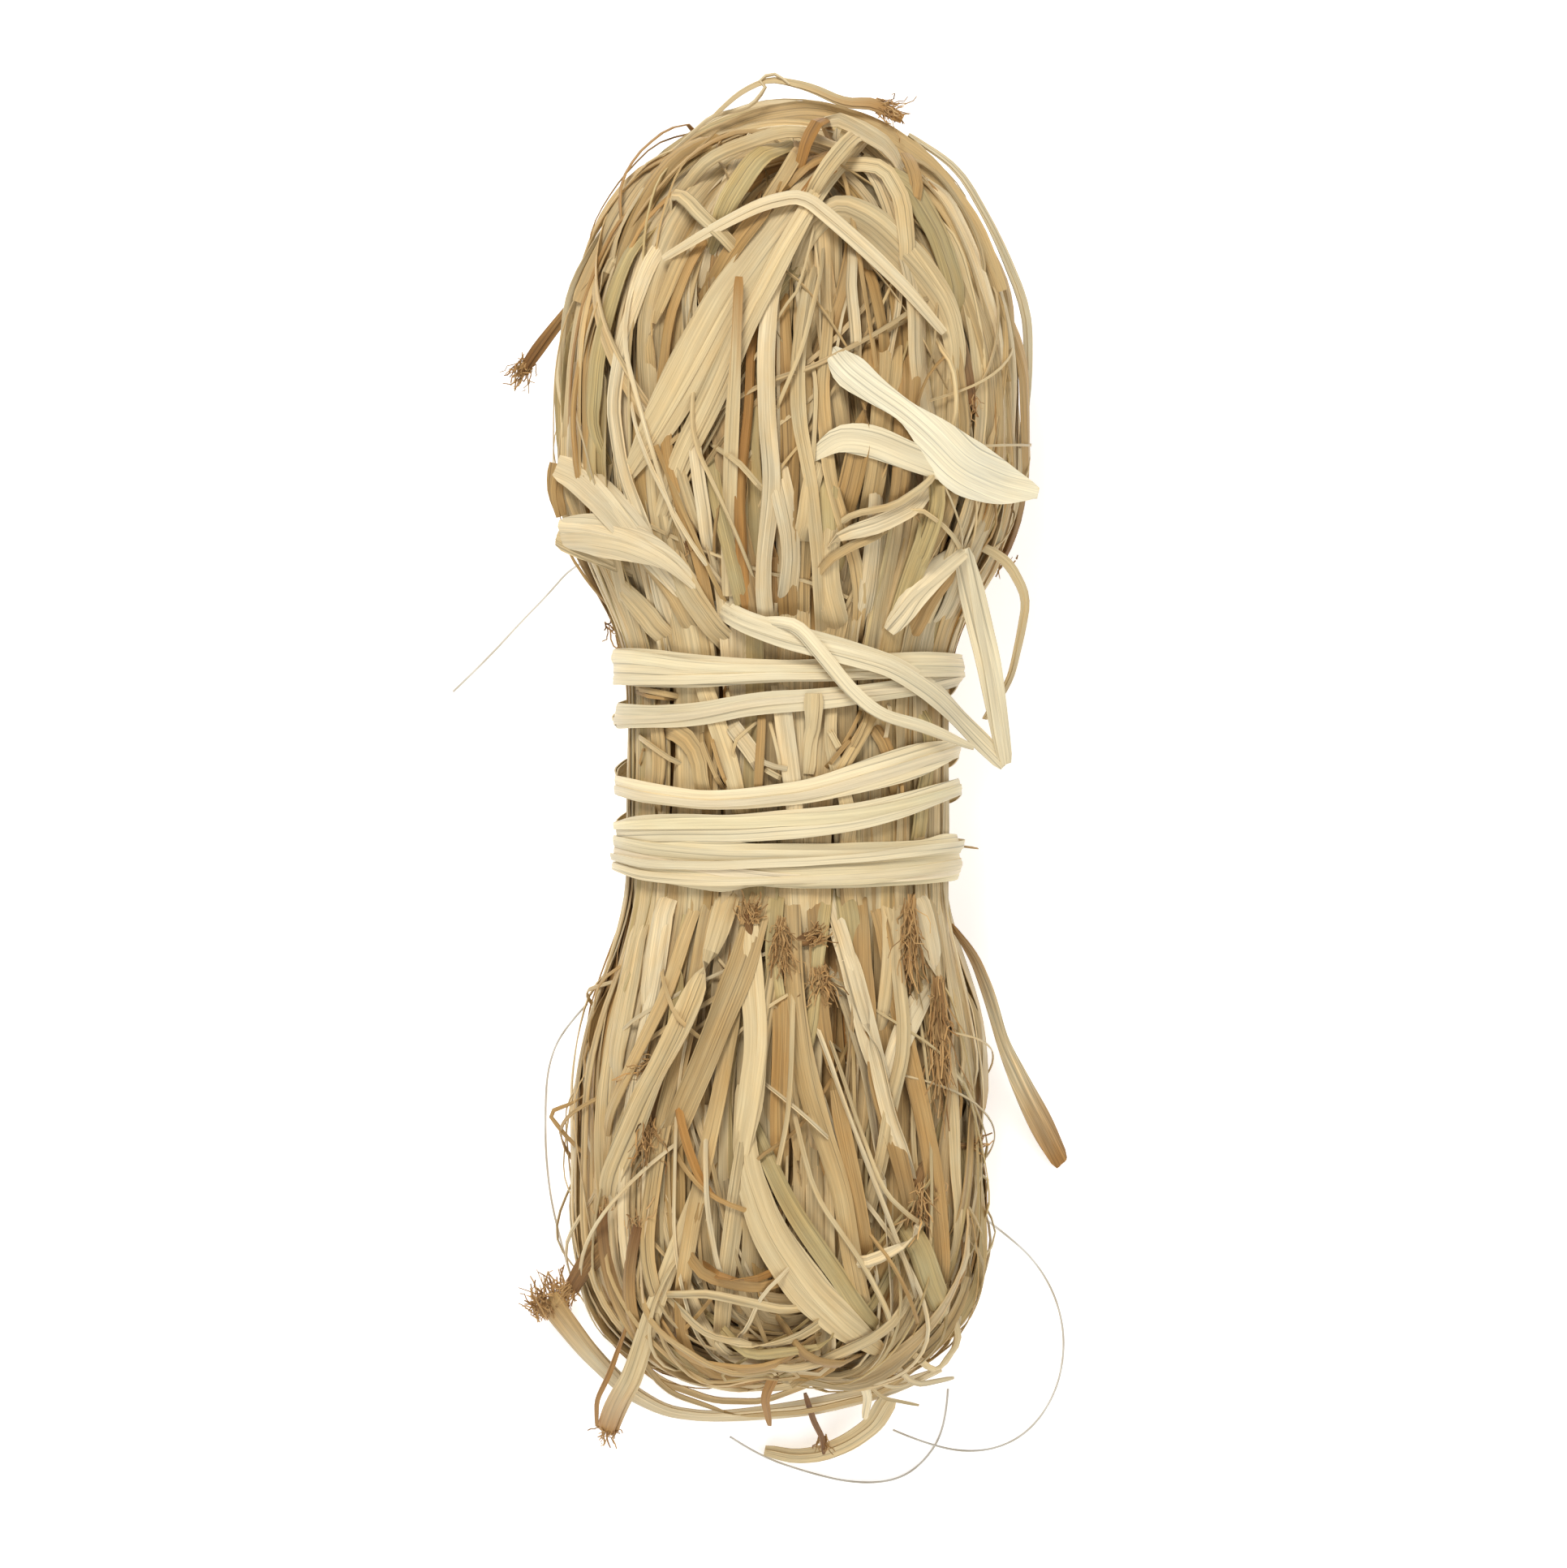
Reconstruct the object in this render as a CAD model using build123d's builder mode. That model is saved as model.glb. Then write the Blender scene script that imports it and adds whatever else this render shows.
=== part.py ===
"""A tied hank of natural raffia, lying on its back.

Every strip of a hank is wound round and round a long loop, so the hank is modelled as bundles of
strips: nested loops and straight cores in four layers, from the underside to the face. A few turns of
the same raffia squeeze the loops at the waist, and loose strips, root ends and fibres lie round them.

Frame: +Z up from the surface that the hank lies on, +Y along the hank towards its crown. Routes are
written in the hank's own plan, whose origin is the middle of the waist, and spot() places them.
"""

import os
from math import atan2, cos, pi, sin, sqrt

from build123d import *

# ---- driving dimensions, in millimetres ----
# Place of the middle of the waist in the part's frame.
AXIS_X = 3.9
WAIST_Y = 1.1

# Half widths and half thicknesses of the hank.
WAIST_HALF_WIDTH = 29.5
CROWN_HALF_WIDTH = 40.5
FOOT_HALF_WIDTH = 36.5
WAIST_HALF_THICKNESS = 20.5
CROWN_HALF_THICKNESS = 28.5
FOOT_HALF_THICKNESS = 25.0

# Along the hank: where the waist ends, where the bulges are full, and how far the ends reach.
WAIST_END = 16.0
BULGE_START = 60.0
ARC_CENTRE = 72.0
CROWN_REACH = 52.0
FOOT_REACH = 41.0
# Plan shape of the ends: 2 is half an ellipse, more is blunter.
CROWN_POWER = 2.0
FOOT_POWER = 3.0

# The middle of the hank leans a little to one side along its length.
WAIST_LEAN = 0.8
CROWN_LEAN = 1.3
FOOT_LEAN = -0.7

# The underside is pressed flat by this much where it rests.
REST_SINK = 0.9

# Bundles: each fills this much of its share of the width and of its layer.
BUNDLE_FILL = 0.92
END_SLIMMING = 0.13
END_THINNING = 0.45

# A loop turns at its crown and foot in an arc at most this many times as deep as half its width.
ARC_STEEPNESS = 1.6
ARC_STEPS = 6
LEG_STEPS = 10

# Layers, from the table up: name, height and half thickness as parts of the hank's half thickness,
# width as a part of the hank's width, and reach of the ends as a part of the full reach.
LAYERS = (
    ("underside", -0.74, 0.205, 0.62, 0.86),
    ("lower", -0.27, 0.25, 1.0, 1.0),
    ("upper", 0.27, 0.25, 1.0, 1.0),
    ("face", 0.74, 0.205, 0.62, 0.86),
)
# Across a layer there are five equal columns: an outer loop, an inner loop and a core.
COLUMN = 0.2
RINGS = (("outer_loop", COLUMN), ("inner_loop", 3 * COLUMN))
CORE_INSET = 4 * COLUMN

# Binding: one strip per row, with the place of its left and right edge along the hank and its width.
BINDING_THICKNESS = 1.0
BINDING_CLEARANCE = 1.09
BINDING_TURNS = (
    (23.5, 23.5, 5.2),
    (12.4, 18.4, 4.2),
    (0.5, 6.0, 4.4),
    (-7.2, 0.2, 4.8),
    (-12.6, -12.4, 3.8),
    (-17.0, -16.8, 3.8),
)

STRIP_THICKNESS = 0.5
FIBRE_DIAMETER = 0.5
ENVELOPE_POWER = 2.5


# ---- the shape of the hank ----
def ease(start, end, first, last, y):
    """Goes smoothly from start to end while y goes from first to last."""
    t = min(1.0, max(0.0, (y - first) / (last - first)))
    return start + (end - start) * (1 - cos(pi * t)) / 2


def along(waist, crown, foot, y):
    """A size that is one value at the waist and another at each bulge."""
    if y >= 0:
        return ease(waist, crown, WAIST_END, BULGE_START, y)
    return ease(waist, foot, -WAIST_END, -BULGE_START, y)


def half_width(y):
    return along(WAIST_HALF_WIDTH, CROWN_HALF_WIDTH, FOOT_HALF_WIDTH, y)


def reach(y):
    return CROWN_REACH if y >= 0 else FOOT_REACH


def end_power(y):
    return CROWN_POWER if y >= 0 else FOOT_POWER


def past_bulge(y):
    """How far y is past the widest part, from 0 there to 1 at the end of the hank."""
    return min(1.0, max(0.0, (abs(y) - ARC_CENTRE) / reach(y)))


def half_thickness(y):
    full = along(WAIST_HALF_THICKNESS, CROWN_HALF_THICKNESS, FOOT_HALF_THICKNESS, y)
    return full * sqrt(1 - END_THINNING * past_bulge(y) ** 2)


def mid_height(y):
    _, height, half_layer, _, _ = LAYERS[0]
    depth = half_layer * BUNDLE_FILL - height
    crown = depth * CROWN_HALF_THICKNESS - REST_SINK
    foot = depth * FOOT_HALF_THICKNESS - REST_SINK
    return ease(foot, crown, -BULGE_START, BULGE_START, y)


def lean(y):
    return along(WAIST_LEAN, CROWN_LEAN, FOOT_LEAN, y)


def outline(y):
    """Half width of the hank's plan outline at y, ends included."""
    power = end_power(y)
    return half_width(y) * (1 - past_bulge(y) ** power) ** (1 / power)


def face_height(x, y):
    """Height of the upper surface of the hank over a point of the plan."""
    side = min(1.0, abs(x - lean(y)) / max(outline(y), 1.0))
    rise = (1 - side**ENVELOPE_POWER) ** (1 / ENVELOPE_POWER)
    return mid_height(y) + half_thickness(y) * rise


def spot(x, y, z):
    """A point of the hank's plan, at height z, in the part's frame."""
    return Vector(x + AXIS_X, y + WAIST_Y, z)


# ---- bundles ----
def bundle_section(x, y, z, heading, half_across, half_high):
    """An upright elliptical section of a bundle that runs along heading, in radians."""
    plane = Plane(
        origin=spot(x, y, z),
        x_dir=(sin(heading), -cos(heading), 0),
        z_dir=(cos(heading), sin(heading), 0),
    )
    with BuildSketch(plane, mode=Mode.PRIVATE) as section:
        Ellipse(half_across, half_high)
    return section.sketch.face()


def bundle_sizes(layer, y):
    """Height of a layer's middle at y, and the half width and half height of a bundle there."""
    _, height, half_layer, width, _ = layer
    z = mid_height(y) + height * half_thickness(y)
    half_across = COLUMN * width * half_width(y) * BUNDLE_FILL * (1 - END_SLIMMING * past_bulge(y))
    return z, half_across, half_layer * half_thickness(y) * BUNDLE_FILL


def loop_sections(layer, inset, side):
    """Sections of half a loop: from the middle of its foot, up the leg on one side, to its crown."""
    _, _, _, width, end = layer
    arcs = {}
    centres = {}
    for end_sign, bulge in ((-1, FOOT_HALF_WIDTH), (1, CROWN_HALF_WIDTH)):
        across = (1 - inset) * width * bulge
        apex = ARC_CENTRE + reach(end_sign) * end - inset * width * bulge
        rise = min(apex - ARC_CENTRE, ARC_STEEPNESS * across)
        centres[end_sign] = end_sign * (apex - rise)
        power = end_power(end_sign)
        arcs[end_sign] = []
        for step in range(ARC_STEPS):
            angle = pi / 2 * (1 - step / ARC_STEPS)
            out = max(0.0, cos(angle)) ** (2 / power)
            up = sin(angle) ** (2 / power)
            y = end_sign * (apex - rise + rise * up)
            x = lean(y) + side * across * out
            heading = atan2(rise * out ** (power - 1), -side * end_sign * across * up ** (power - 1))
            arcs[end_sign].append((x, y, heading))
    leg = []
    for step in range(LEG_STEPS + 1):
        y = centres[-1] + (centres[1] - centres[-1]) * step / LEG_STEPS
        x = lean(y) + side * (1 - inset) * width * half_width(y)
        ahead = lean(y + 1) + side * (1 - inset) * width * half_width(y + 1)
        leg.append((x, y, atan2(1, ahead - x)))
    sections = []
    for x, y, heading in arcs[-1] + leg + arcs[1][::-1]:
        z, half_across, half_high = bundle_sizes(layer, y)
        sections.append(bundle_section(x, y, z, heading, half_across, half_high))
    return sections


def core_sections(layer):
    """Sections of the straight bundle inside a layer's loops, tapered at both ends."""
    _, _, _, width, end = layer
    foot = -(ARC_CENTRE + FOOT_REACH * end - CORE_INSET * width * FOOT_HALF_WIDTH)
    crown = ARC_CENTRE + CROWN_REACH * end - CORE_INSET * width * CROWN_HALF_WIDTH
    steps = 14
    taper_length = 18
    tip = 0.35
    sections = []
    for step in range(steps + 1):
        y = foot + (crown - foot) * step / steps
        z, half_across, half_high = bundle_sizes(layer, y)
        room = max(0.0, min(y - foot, crown - y, taper_length)) / taper_length
        taper = tip + (1 - tip) * sqrt(1 - (1 - room) ** 2)
        sections.append(bundle_section(lean(y), y, z, pi / 2, half_across * taper, half_high * taper))
    return sections


# ---- strips ----
def on_face(points):
    """Routes over the hank: each point is x, y and the height above the hank's upper surface."""
    return [(x, y, face_height(x, y) + lift) for x, y, lift in points]


def strip_sections(route, widths, thickness=STRIP_THICKNESS):
    """Flat sections of a strip that passes through the points of route, one width for each."""
    points = [spot(*point) for point in route]
    sections = []
    for index, (point, width) in enumerate(zip(points, widths)):
        before = points[max(index - 1, 0)]
        after = points[min(index + 1, len(points) - 1)]
        run = (after - before).normalized()
        across = run.cross(Vector(0, 0, 1)).normalized()
        with BuildSketch(Plane(origin=point, x_dir=across, z_dir=run), mode=Mode.PRIVATE) as section:
            Rectangle(width, thickness)
        sections.append(section.sketch.face())
    return sections


def fibre_radii(route):
    """The largest tangent arc that the two runs at each corner allow."""
    points = [Vector(*point) for point in route]
    radii = []
    for before, corner, after in zip(points, points[1:], points[2:]):
        turn = (corner - before).get_angle(after - corner)
        shorter = min((corner - before).length, (after - corner).length)
        radii.append(0.45 * shorter / sin(turn * pi / 360) * cos(turn * pi / 360))
    return radii


# ======== bundles: nested loops, in two halves that meet at the waist, and cores ========
os.makedirs("parts", exist_ok=True)

for layer in LAYERS:
    layer_name = layer[0]
    for ring_name, inset in RINGS:
        with BuildPart() as loop:
            loft(sections=loop_sections(layer, inset, 1))
            loft(sections=loop_sections(layer, inset, -1))
            split(bisect_by=Plane.XY, keep=Keep.TOP)
        for end_name, kept in (("crown", Keep.BOTTOM), ("foot", Keep.TOP)):
            with BuildPart() as half_loop:
                add(loop.part)
                split(bisect_by=Plane.XZ.offset(-WAIST_Y), keep=kept)
            half_loop.part.label = f"{layer_name}_{ring_name}_{end_name}"
            export_step(half_loop.part, f"parts/{layer_name}_{ring_name}_{end_name}.step")

    with BuildPart() as core:
        loft(sections=core_sections(layer))
        split(bisect_by=Plane.XY, keep=Keep.TOP)
    core.part.label = f"{layer_name}_core"
    export_step(core.part, f"parts/{layer_name}_core.step")

# ======== binding turns round the waist ========
for number, (left, right, width) in enumerate(BINDING_TURNS, start=1):
    middle = (left + right) / 2
    girth_x = half_width(middle) * BINDING_CLEARANCE
    girth_z = half_thickness(middle) * BINDING_CLEARANCE
    tilt = atan2(right - left, 2 * girth_x)
    turn_plane = Plane(
        origin=spot(lean(middle), middle, mid_height(middle)),
        x_dir=(cos(tilt), sin(tilt), 0),
        z_dir=(-sin(tilt), cos(tilt), 0),
    )
    with BuildPart() as turn:
        with BuildSketch(turn_plane):
            Ellipse(girth_x + BINDING_THICKNESS, girth_z + BINDING_THICKNESS)
            Ellipse(girth_x, girth_z, mode=Mode.SUBTRACT)
        extrude(amount=width / 2, both=True)
    turn.part.label = f"binding_turn_{number}"
    export_step(turn.part, f"parts/binding_turn_{number}.step")

# ======== the binding's free ends ========
# The long end crosses the front, folds back in the air beside the waist, rises, and folds again.
TAIL_CROSSING = on_face(((-8, 29, 4.2), (1, 26.4, 4.2), (11, 24, 4.2), (20, 21.6, 4.2), (28, 16.5, 5)))
TAIL_CROSSING += [(35, 9.5, 29.5), (41, 3.6, 26.5)]
TAIL_RISING = [(41, 3.6, 26.5), (39.8, 10, 29), (37.5, 22.5, 34.5), (35, 32.5, 40)]
TAIL_RISING += on_face(((32.6, 42.6, 3.4),))
TAIL_TUCKED = on_face(((32.6, 42.6, 3.4), (28, 39, 3.4), (23.4, 34.4, 3.4), (21.5, 31, 3.2), (19, 27.8, 2)))

with BuildPart() as binding_tail:
    loft(sections=strip_sections(TAIL_CROSSING, (3.5, 5, 5, 4.6, 4.4, 4.2, 3.4)))
    loft(sections=strip_sections(TAIL_RISING, (3.4, 4.4, 5.4, 4.6, 3.6)))
    loft(sections=strip_sections(TAIL_TUCKED, (3.6, 5, 5.4, 4.6, 4)))
binding_tail.part.label = "binding_tail"
export_step(binding_tail.part, "parts/binding_tail.step")

with BuildPart() as kinked_tail:
    route = on_face(((2.6, 28.2, 5.4), (6.8, 23.7, 5.6), (11.7, 17.7, 4.8), (15.5, 14.1, 4.6)))
    route += on_face(((18.8, 12.2, 4.6), (26, 10.4, 4.8)))
    route += [(34.8, 6.6, 38)]
    loft(sections=strip_sections(route, (2, 2.8, 2.8, 2.8, 2.6, 3, 1.6)))
kinked_tail.part.label = "kinked_tail"
export_step(kinked_tail.part, "parts/kinked_tail.step")

with BuildPart() as tucked_stub:
    route = on_face(((5.7, 16.4, 3.2), (5.6, 12.5, 2.8), (5.4, 9.6, 1.2), (4.9, 8.2, 0.8)))
    loft(sections=strip_sections(route, (3.4, 3.4, 3.2, 3)))
tucked_stub.part.label = "tucked_stub"
export_step(tucked_stub.part, "parts/tucked_stub.step")

# ======== loose strips over the face, crown half ========
with BuildPart() as twisted_wide_strip:
    upper = on_face(((10.5, 74.7, 4.2), (16.5, 71, 4.6), (22, 67.4, 5), (27, 62.7, 5.4), (33, 57.2, 6)))
    upper += [(40, 54.2, 43.4), (46.5, 53, 40.4)]
    lower = [(46.5, 53, 40.4), (39, 54.6, 41.4)]
    lower += on_face(((30, 56.4, 2.6), (22, 59, 2.6), (15.5, 60.9, 2.8), (9.9, 61.7, 3), (4, 57.4, 2)))
    loft(sections=strip_sections(upper, (6, 5, 3.6, 6, 9.4, 8, 2.6)))
    loft(sections=strip_sections(lower, (2.6, 4, 4.4, 4.8, 4.6, 4, 1.4)))
twisted_wide_strip.part.label = "twisted_wide_strip"
export_step(twisted_wide_strip.part, "parts/twisted_wide_strip.step")

with BuildPart() as folded_strip_high:
    route = [(-41.4, 58.2, 38.6), (-37.5, 56.4, 41)]
    route += on_face(((-31, 49, 2), (-25, 40, 2), (-19, 32.4, 2)))
    loft(sections=strip_sections(route, (5.6, 6.6, 7, 6, 4)))
folded_strip_high.part.label = "folded_strip_high"
export_step(folded_strip_high.part, "parts/folded_strip_high.step")

with BuildPart() as folded_strip_low:
    route = [(-40.8, 45.9, 41), (-36, 45.9, 46)]
    route += on_face(((-28, 44.4, 6.4), (-20, 40.6, 5.2), (-13, 33, 1.8)))
    loft(sections=strip_sections(route, (7, 7, 6.4, 5, 3)))
folded_strip_low.part.label = "folded_strip_low"
export_step(folded_strip_low.part, "parts/folded_strip_low.step")

# Name, points over the face as x, y and lift, and the width at each point.
FACE_STRIPS = (
    (
        "wide_diagonal_strip",
        ((12.8, 116, 1.4), (5.3, 109, 1.4), (-3, 98.4, 1.4), (-10, 87.9, 1.4), (-17.4, 74.4, 1.4),
         (-23, 63.9, 1.4), (-29, 54.2, 1.4)),
        (3, 4.4, 5.4, 6.6, 7.4, 6, 2.4),
    ),
    (
        "second_diagonal_strip",
        ((16, 118, 3), (7.5, 108, 3), (-0.5, 94, 3), (-7, 82, 2.8), (-12.5, 68.4, 2.8),
         (-18.4, 56.4, 2.8), (-22, 46.6, 1.6)),
        (3, 3, 3.8, 4.4, 5, 5, 4.4),
    ),
    (
        "crossing_strip",
        ((-21.8, 94.7, 4), (-12.8, 99.9, 4), (-4, 104.4, 4), (3.4, 106, 4), (9.8, 100.7, 4), (16.5, 94.7, 4),
         (23.3, 87.9, 4.4), (29, 81.4, 4.4)),
        (1.8, 2.2, 2.6, 3, 3.2, 3.2, 3, 2),
    ),
    (
        "inner_arch_strip",
        ((3, 94.6, 1.4), (5.3, 101, 1.4), (10.5, 104.6, 1.4), (17.3, 100.6, 1.6), (24.4, 93.2, 2),
         (29.4, 86, 2.4), (30.8, 77.4, 2.4), (30.6, 69.6, 1.6)),
        (3, 4, 5, 7, 7.6, 6, 3.6, 2.4),
    ),
    (
        "centre_strip",
        ((-8, 91, 4.4), (-8.6, 77.4, 4.8), (-9.4, 62, 4.2), (-9.8, 47, 1.8), (-10, 34, 1)),
        (2.4, 3, 3.2, 3, 3),
    ),
    (
        "root_strip",
        ((-6, -22, 0.9), (-5.3, -35, 0.9), (-4.6, -47, 0.9), (-6.4, -57, 0.9)),
        (4, 5, 5, 4.4),
    ),
    (
        "bent_diagonal_strip",
        ((-7.4, -60.4, 0.9), (-5.4, -71, 0.9), (0, -81.6, 0.9), (6.8, -90.6, 0.9), (12.6, -97.8, 0.9),
         (17.6, -103.6, 0.9)),
        (4.4, 5.6, 6.4, 7, 6.4, 5),
    ),
)
for name, points, widths in FACE_STRIPS:
    with BuildPart() as strip:
        loft(sections=strip_sections(on_face(points), widths))
    strip.part.label = name
    export_step(strip.part, f"parts/{name}.step")

# A strip that runs down the foot half, folds, and runs back up.
LOOP_DOWN = on_face(((13, -30.6, 1.2), (14.6, -38, 1.2), (16.4, -46, 1.2), (18.6, -54.6, 1.2)))
LOOP_UP = on_face(((18.6, -54.6, 1.2), (21, -46, 1.6), (23, -36.6, 1.6)))

with BuildPart() as looped_strip:
    loft(sections=strip_sections(LOOP_DOWN, (3, 4, 4, 3.4)))
    loft(sections=strip_sections(LOOP_UP, (3.4, 4, 3)))
looped_strip.part.label = "looped_strip"
export_step(looped_strip.part, "parts/looped_strip.step")

# ======== strips that leave the outline ========
# Name, points as x, y and height over the surface that the hank lies on, and the width at each point.
FREE_STRIPS = (
    (
        "crown_strip",
        ((-37.5, 88, 39), (-33.5, 97, 38.6), (-27, 107, 38), (-17.5, 116, 37.6), (-5, 121.5, 37.4),
         (6, 123, 37.4), (17, 119.5, 37.6), (27, 112.5, 38), (35, 102, 38.6), (39.8, 90, 39)),
        (3, 4.6, 5.4, 5.4, 5, 5, 5, 5, 4.6, 3),
    ),
    (
        "crown_loop_strip",
        ((-12.8, 121.6, 42), (-8, 126, 42), (-2.6, 128.6, 41.6), (4.6, 127.2, 41), (11.3, 124.2, 40),
         (16.5, 125, 39.4), (21.8, 121.6, 38.4)),
        (1.4, 1.6, 1.8, 2.2, 2.4, 3, 2.4),
    ),
    (
        "right_loose_strip",
        ((23, 119.4, 31), (32.4, 113.4, 29), (39.4, 101.4, 27), (45.2, 87.6, 25), (45.4, 75, 24), (44, 62, 24)),
        (1.6, 2, 2.4, 2.6, 2.4, 2.2),
    ),
    (
        "brown_end_left",
        ((-40.6, 86.5, 26), (-42.8, 83.8, 25.4), (-45.8, 80.1, 24.4), (-48.4, 76.5, 23.4)),
        (3, 3.6, 4.2, 4),
    ),
    (
        "right_hanging_strip",
        ((41.4, 40.6, 34), (44.9, 34.2, 32.6), (43.6, 27, 31), (42, 19, 24), (37.4, 12, 18)),
        (2, 2, 2, 1.8, 1.6),
    ),
    (
        "brown_tail_right",
        ((36.8, -33, 22), (38.6, -39.6, 20), (41, -48.6, 16), (45, -57, 11), (49, -64.6, 6), (52.6, -71.4, 1)),
        (3, 3.6, 3.2, 4.6, 5.6, 4.6),
    ),
    (
        "bottom_root_strip",
        ((-44.2, -96.6, 6), (-41, -101, 7), (-36.6, -106.6, 8), (-29.4, -113.6, 10), (-22, -117.4, 11),
         (-13, -118.4, 11.6), (5, -116.6, 12), (20, -113.2, 12), (29.5, -109.4, 12)),
        (6.6, 6, 5.6, 4.6, 4, 4, 4.4, 4.2, 3.6),
    ),
    (
        "forked_strip",
        ((-27.6, -108.6, 36), (-29.6, -112.4, 31), (-31.4, -116.2, 24), (-33, -120.6, 16)),
        (4.4, 4.6, 4.8, 4.4),
    ),
    (
        "bottom_loose_strip",
        ((19.4, -114.6, 17), (17, -119.6, 12), (12.4, -123.6, 6), (7, -126.2, 2.6), (2, -126.8, 1.8),
         (-3.6, -125.6, 1.6)),
        (4, 4, 4, 3.6, 3.4, 3),
    ),
    (
        "dark_root_tip",
        ((-32.4, -83.6, 39), (-35.2, -87, 36), (-37.4, -90, 33), (-39.4, -93.4, 29)),
        (5, 4.8, 4.2, 2.6),
    ),
)
for name, points, widths in FREE_STRIPS:
    with BuildPart() as strip:
        loft(sections=strip_sections(points, widths))
    strip.part.label = name
    export_step(strip.part, f"parts/{name}.step")

# ======== frayed root ends on the foot half, one tapered tuft each ========
# Each tuft: its root's place, the direction that it points in degrees from +X, length and width.
TUFT_LIFT = 2.2
TUFT_HEIGHT = 1.6
ROOT_TUFTS = (
    (-6, -28.4, 95, 8, 4.0),
    (0.6, -28.6, 80, 8, 3.6),
    (6, -34, 55, 8, 3.4),
    (7.4, -38.5, -70, 8, 3.2),
    (28, -36.5, -80, 9, 3.4),
    (-25.4, -52, 200, 9, 3.4),
    (-24.6, -68.6, 260, 9, 4.6),
    (28.8, -50, 100, 9, 3.2),
)
with BuildPart() as root_tufts:
    for x, y, pointing, length, width in ROOT_TUFTS:
        aim = Vector(1, 0, 0).rotate(Axis.Z, pointing)
        sections = []
        for run, spread in ((0, 0.5), (0.5, 0.8), (1, 1)):
            px = x + aim.X * run * length
            py = y + aim.Y * run * length
            across = aim.cross(Vector(0, 0, 1))
            place = spot(px, py, face_height(px, py) + TUFT_LIFT)
            with BuildSketch(Plane(origin=place, x_dir=across, z_dir=aim), mode=Mode.PRIVATE) as section:
                Ellipse(width * spread / 2, TUFT_HEIGHT / 2)
            sections.append(section.sketch.face())
        loft(sections=sections)
root_tufts.part.label = "root_tufts"
export_step(root_tufts.part, "parts/root_tufts.step")

# ======== long thin fibres that stray from the hank and lie on the table ========
FIBRE_REST = 0.4
FIBRES = (
    (
        "stray_fibre_left",
        ((-35.6, 42, 14), (-39.4, 41, 8), (-44.4, 35.6, 2), (-50, 30, FIBRE_REST), (-56, 23.4, FIBRE_REST),
         (-62.3, 17.4, FIBRE_REST)),
    ),
    (
        "stray_fibre_foot_left",
        ((-36.6, -41, 16), (-41.4, -46, 8), (-44.4, -53, 1.6), (-45, -62, FIBRE_REST), (-44.7, -72.6, FIBRE_REST),
         (-43, -83, FIBRE_REST), (-40, -93, FIBRE_REST)),
    ),
    (
        "stray_fibre_foot_right",
        ((36.8, -80.4, 16), (42, -84.6, 7), (47.6, -90, 1.4), (51.6, -97, FIBRE_REST), (53.2, -105.6, FIBRE_REST),
         (51.4, -115, FIBRE_REST), (46, -122.6, FIBRE_REST), (38, -126, 1), (28.4, -125, 1.6), (20.6, -121.6, 1.6)),
    ),
    (
        "stray_fibre_foot",
        ((-10, -122.8, 3), (-4.6, -126.6, FIBRE_REST), (4, -129.6, FIBRE_REST), (13, -131.8, FIBRE_REST),
         (21.4, -131.4, FIBRE_REST), (27, -127.4, FIBRE_REST), (30.6, -121, FIBRE_REST), (31, -114, FIBRE_REST)),
    ),
)
for name, route in FIBRES:
    radii = fibre_radii(route)
    with BuildPart() as fibre:
        with BuildLine() as path:
            FilletPolyline([spot(*point) for point in route], radius=radii)
        with BuildSketch(path.line ^ 0):
            Circle(FIBRE_DIAMETER / 2)
        sweep()
    expected = pi * FIBRE_DIAMETER**2 / 4 * path.wire().length
    print(name, "radii", [round(r, 1) for r in radii])
    print(name, "volume over section times length", round(fibre.part.volume / expected, 4))
    fibre.part.label = name
    export_step(fibre.part, f"parts/{name}.step")
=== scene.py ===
"""Looks of a tied hank of natural raffia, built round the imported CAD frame.

Lengths are in millimetres up to the point where a mesh or a curve is made. Routes are written in the
hank's own plan (its origin in the middle of the waist, +Y towards the crown), as in the CAD model.
"""
import math

import bpy
import numpy as np
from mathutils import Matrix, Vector


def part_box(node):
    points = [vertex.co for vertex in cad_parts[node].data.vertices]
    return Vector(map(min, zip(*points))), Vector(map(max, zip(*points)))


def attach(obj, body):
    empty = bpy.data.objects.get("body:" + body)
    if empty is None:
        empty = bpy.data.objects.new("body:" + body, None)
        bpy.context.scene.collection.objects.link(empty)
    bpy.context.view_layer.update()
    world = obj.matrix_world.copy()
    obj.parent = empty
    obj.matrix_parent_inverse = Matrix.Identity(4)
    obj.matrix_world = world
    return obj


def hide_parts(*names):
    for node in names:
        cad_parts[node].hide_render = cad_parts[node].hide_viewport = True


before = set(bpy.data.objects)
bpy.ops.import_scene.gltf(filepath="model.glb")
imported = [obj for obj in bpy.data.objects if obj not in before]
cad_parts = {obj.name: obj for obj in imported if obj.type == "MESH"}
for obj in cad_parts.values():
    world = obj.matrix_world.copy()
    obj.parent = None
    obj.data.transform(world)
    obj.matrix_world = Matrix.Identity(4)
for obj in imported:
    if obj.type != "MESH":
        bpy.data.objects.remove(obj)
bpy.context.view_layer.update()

MM = 0.001

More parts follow.
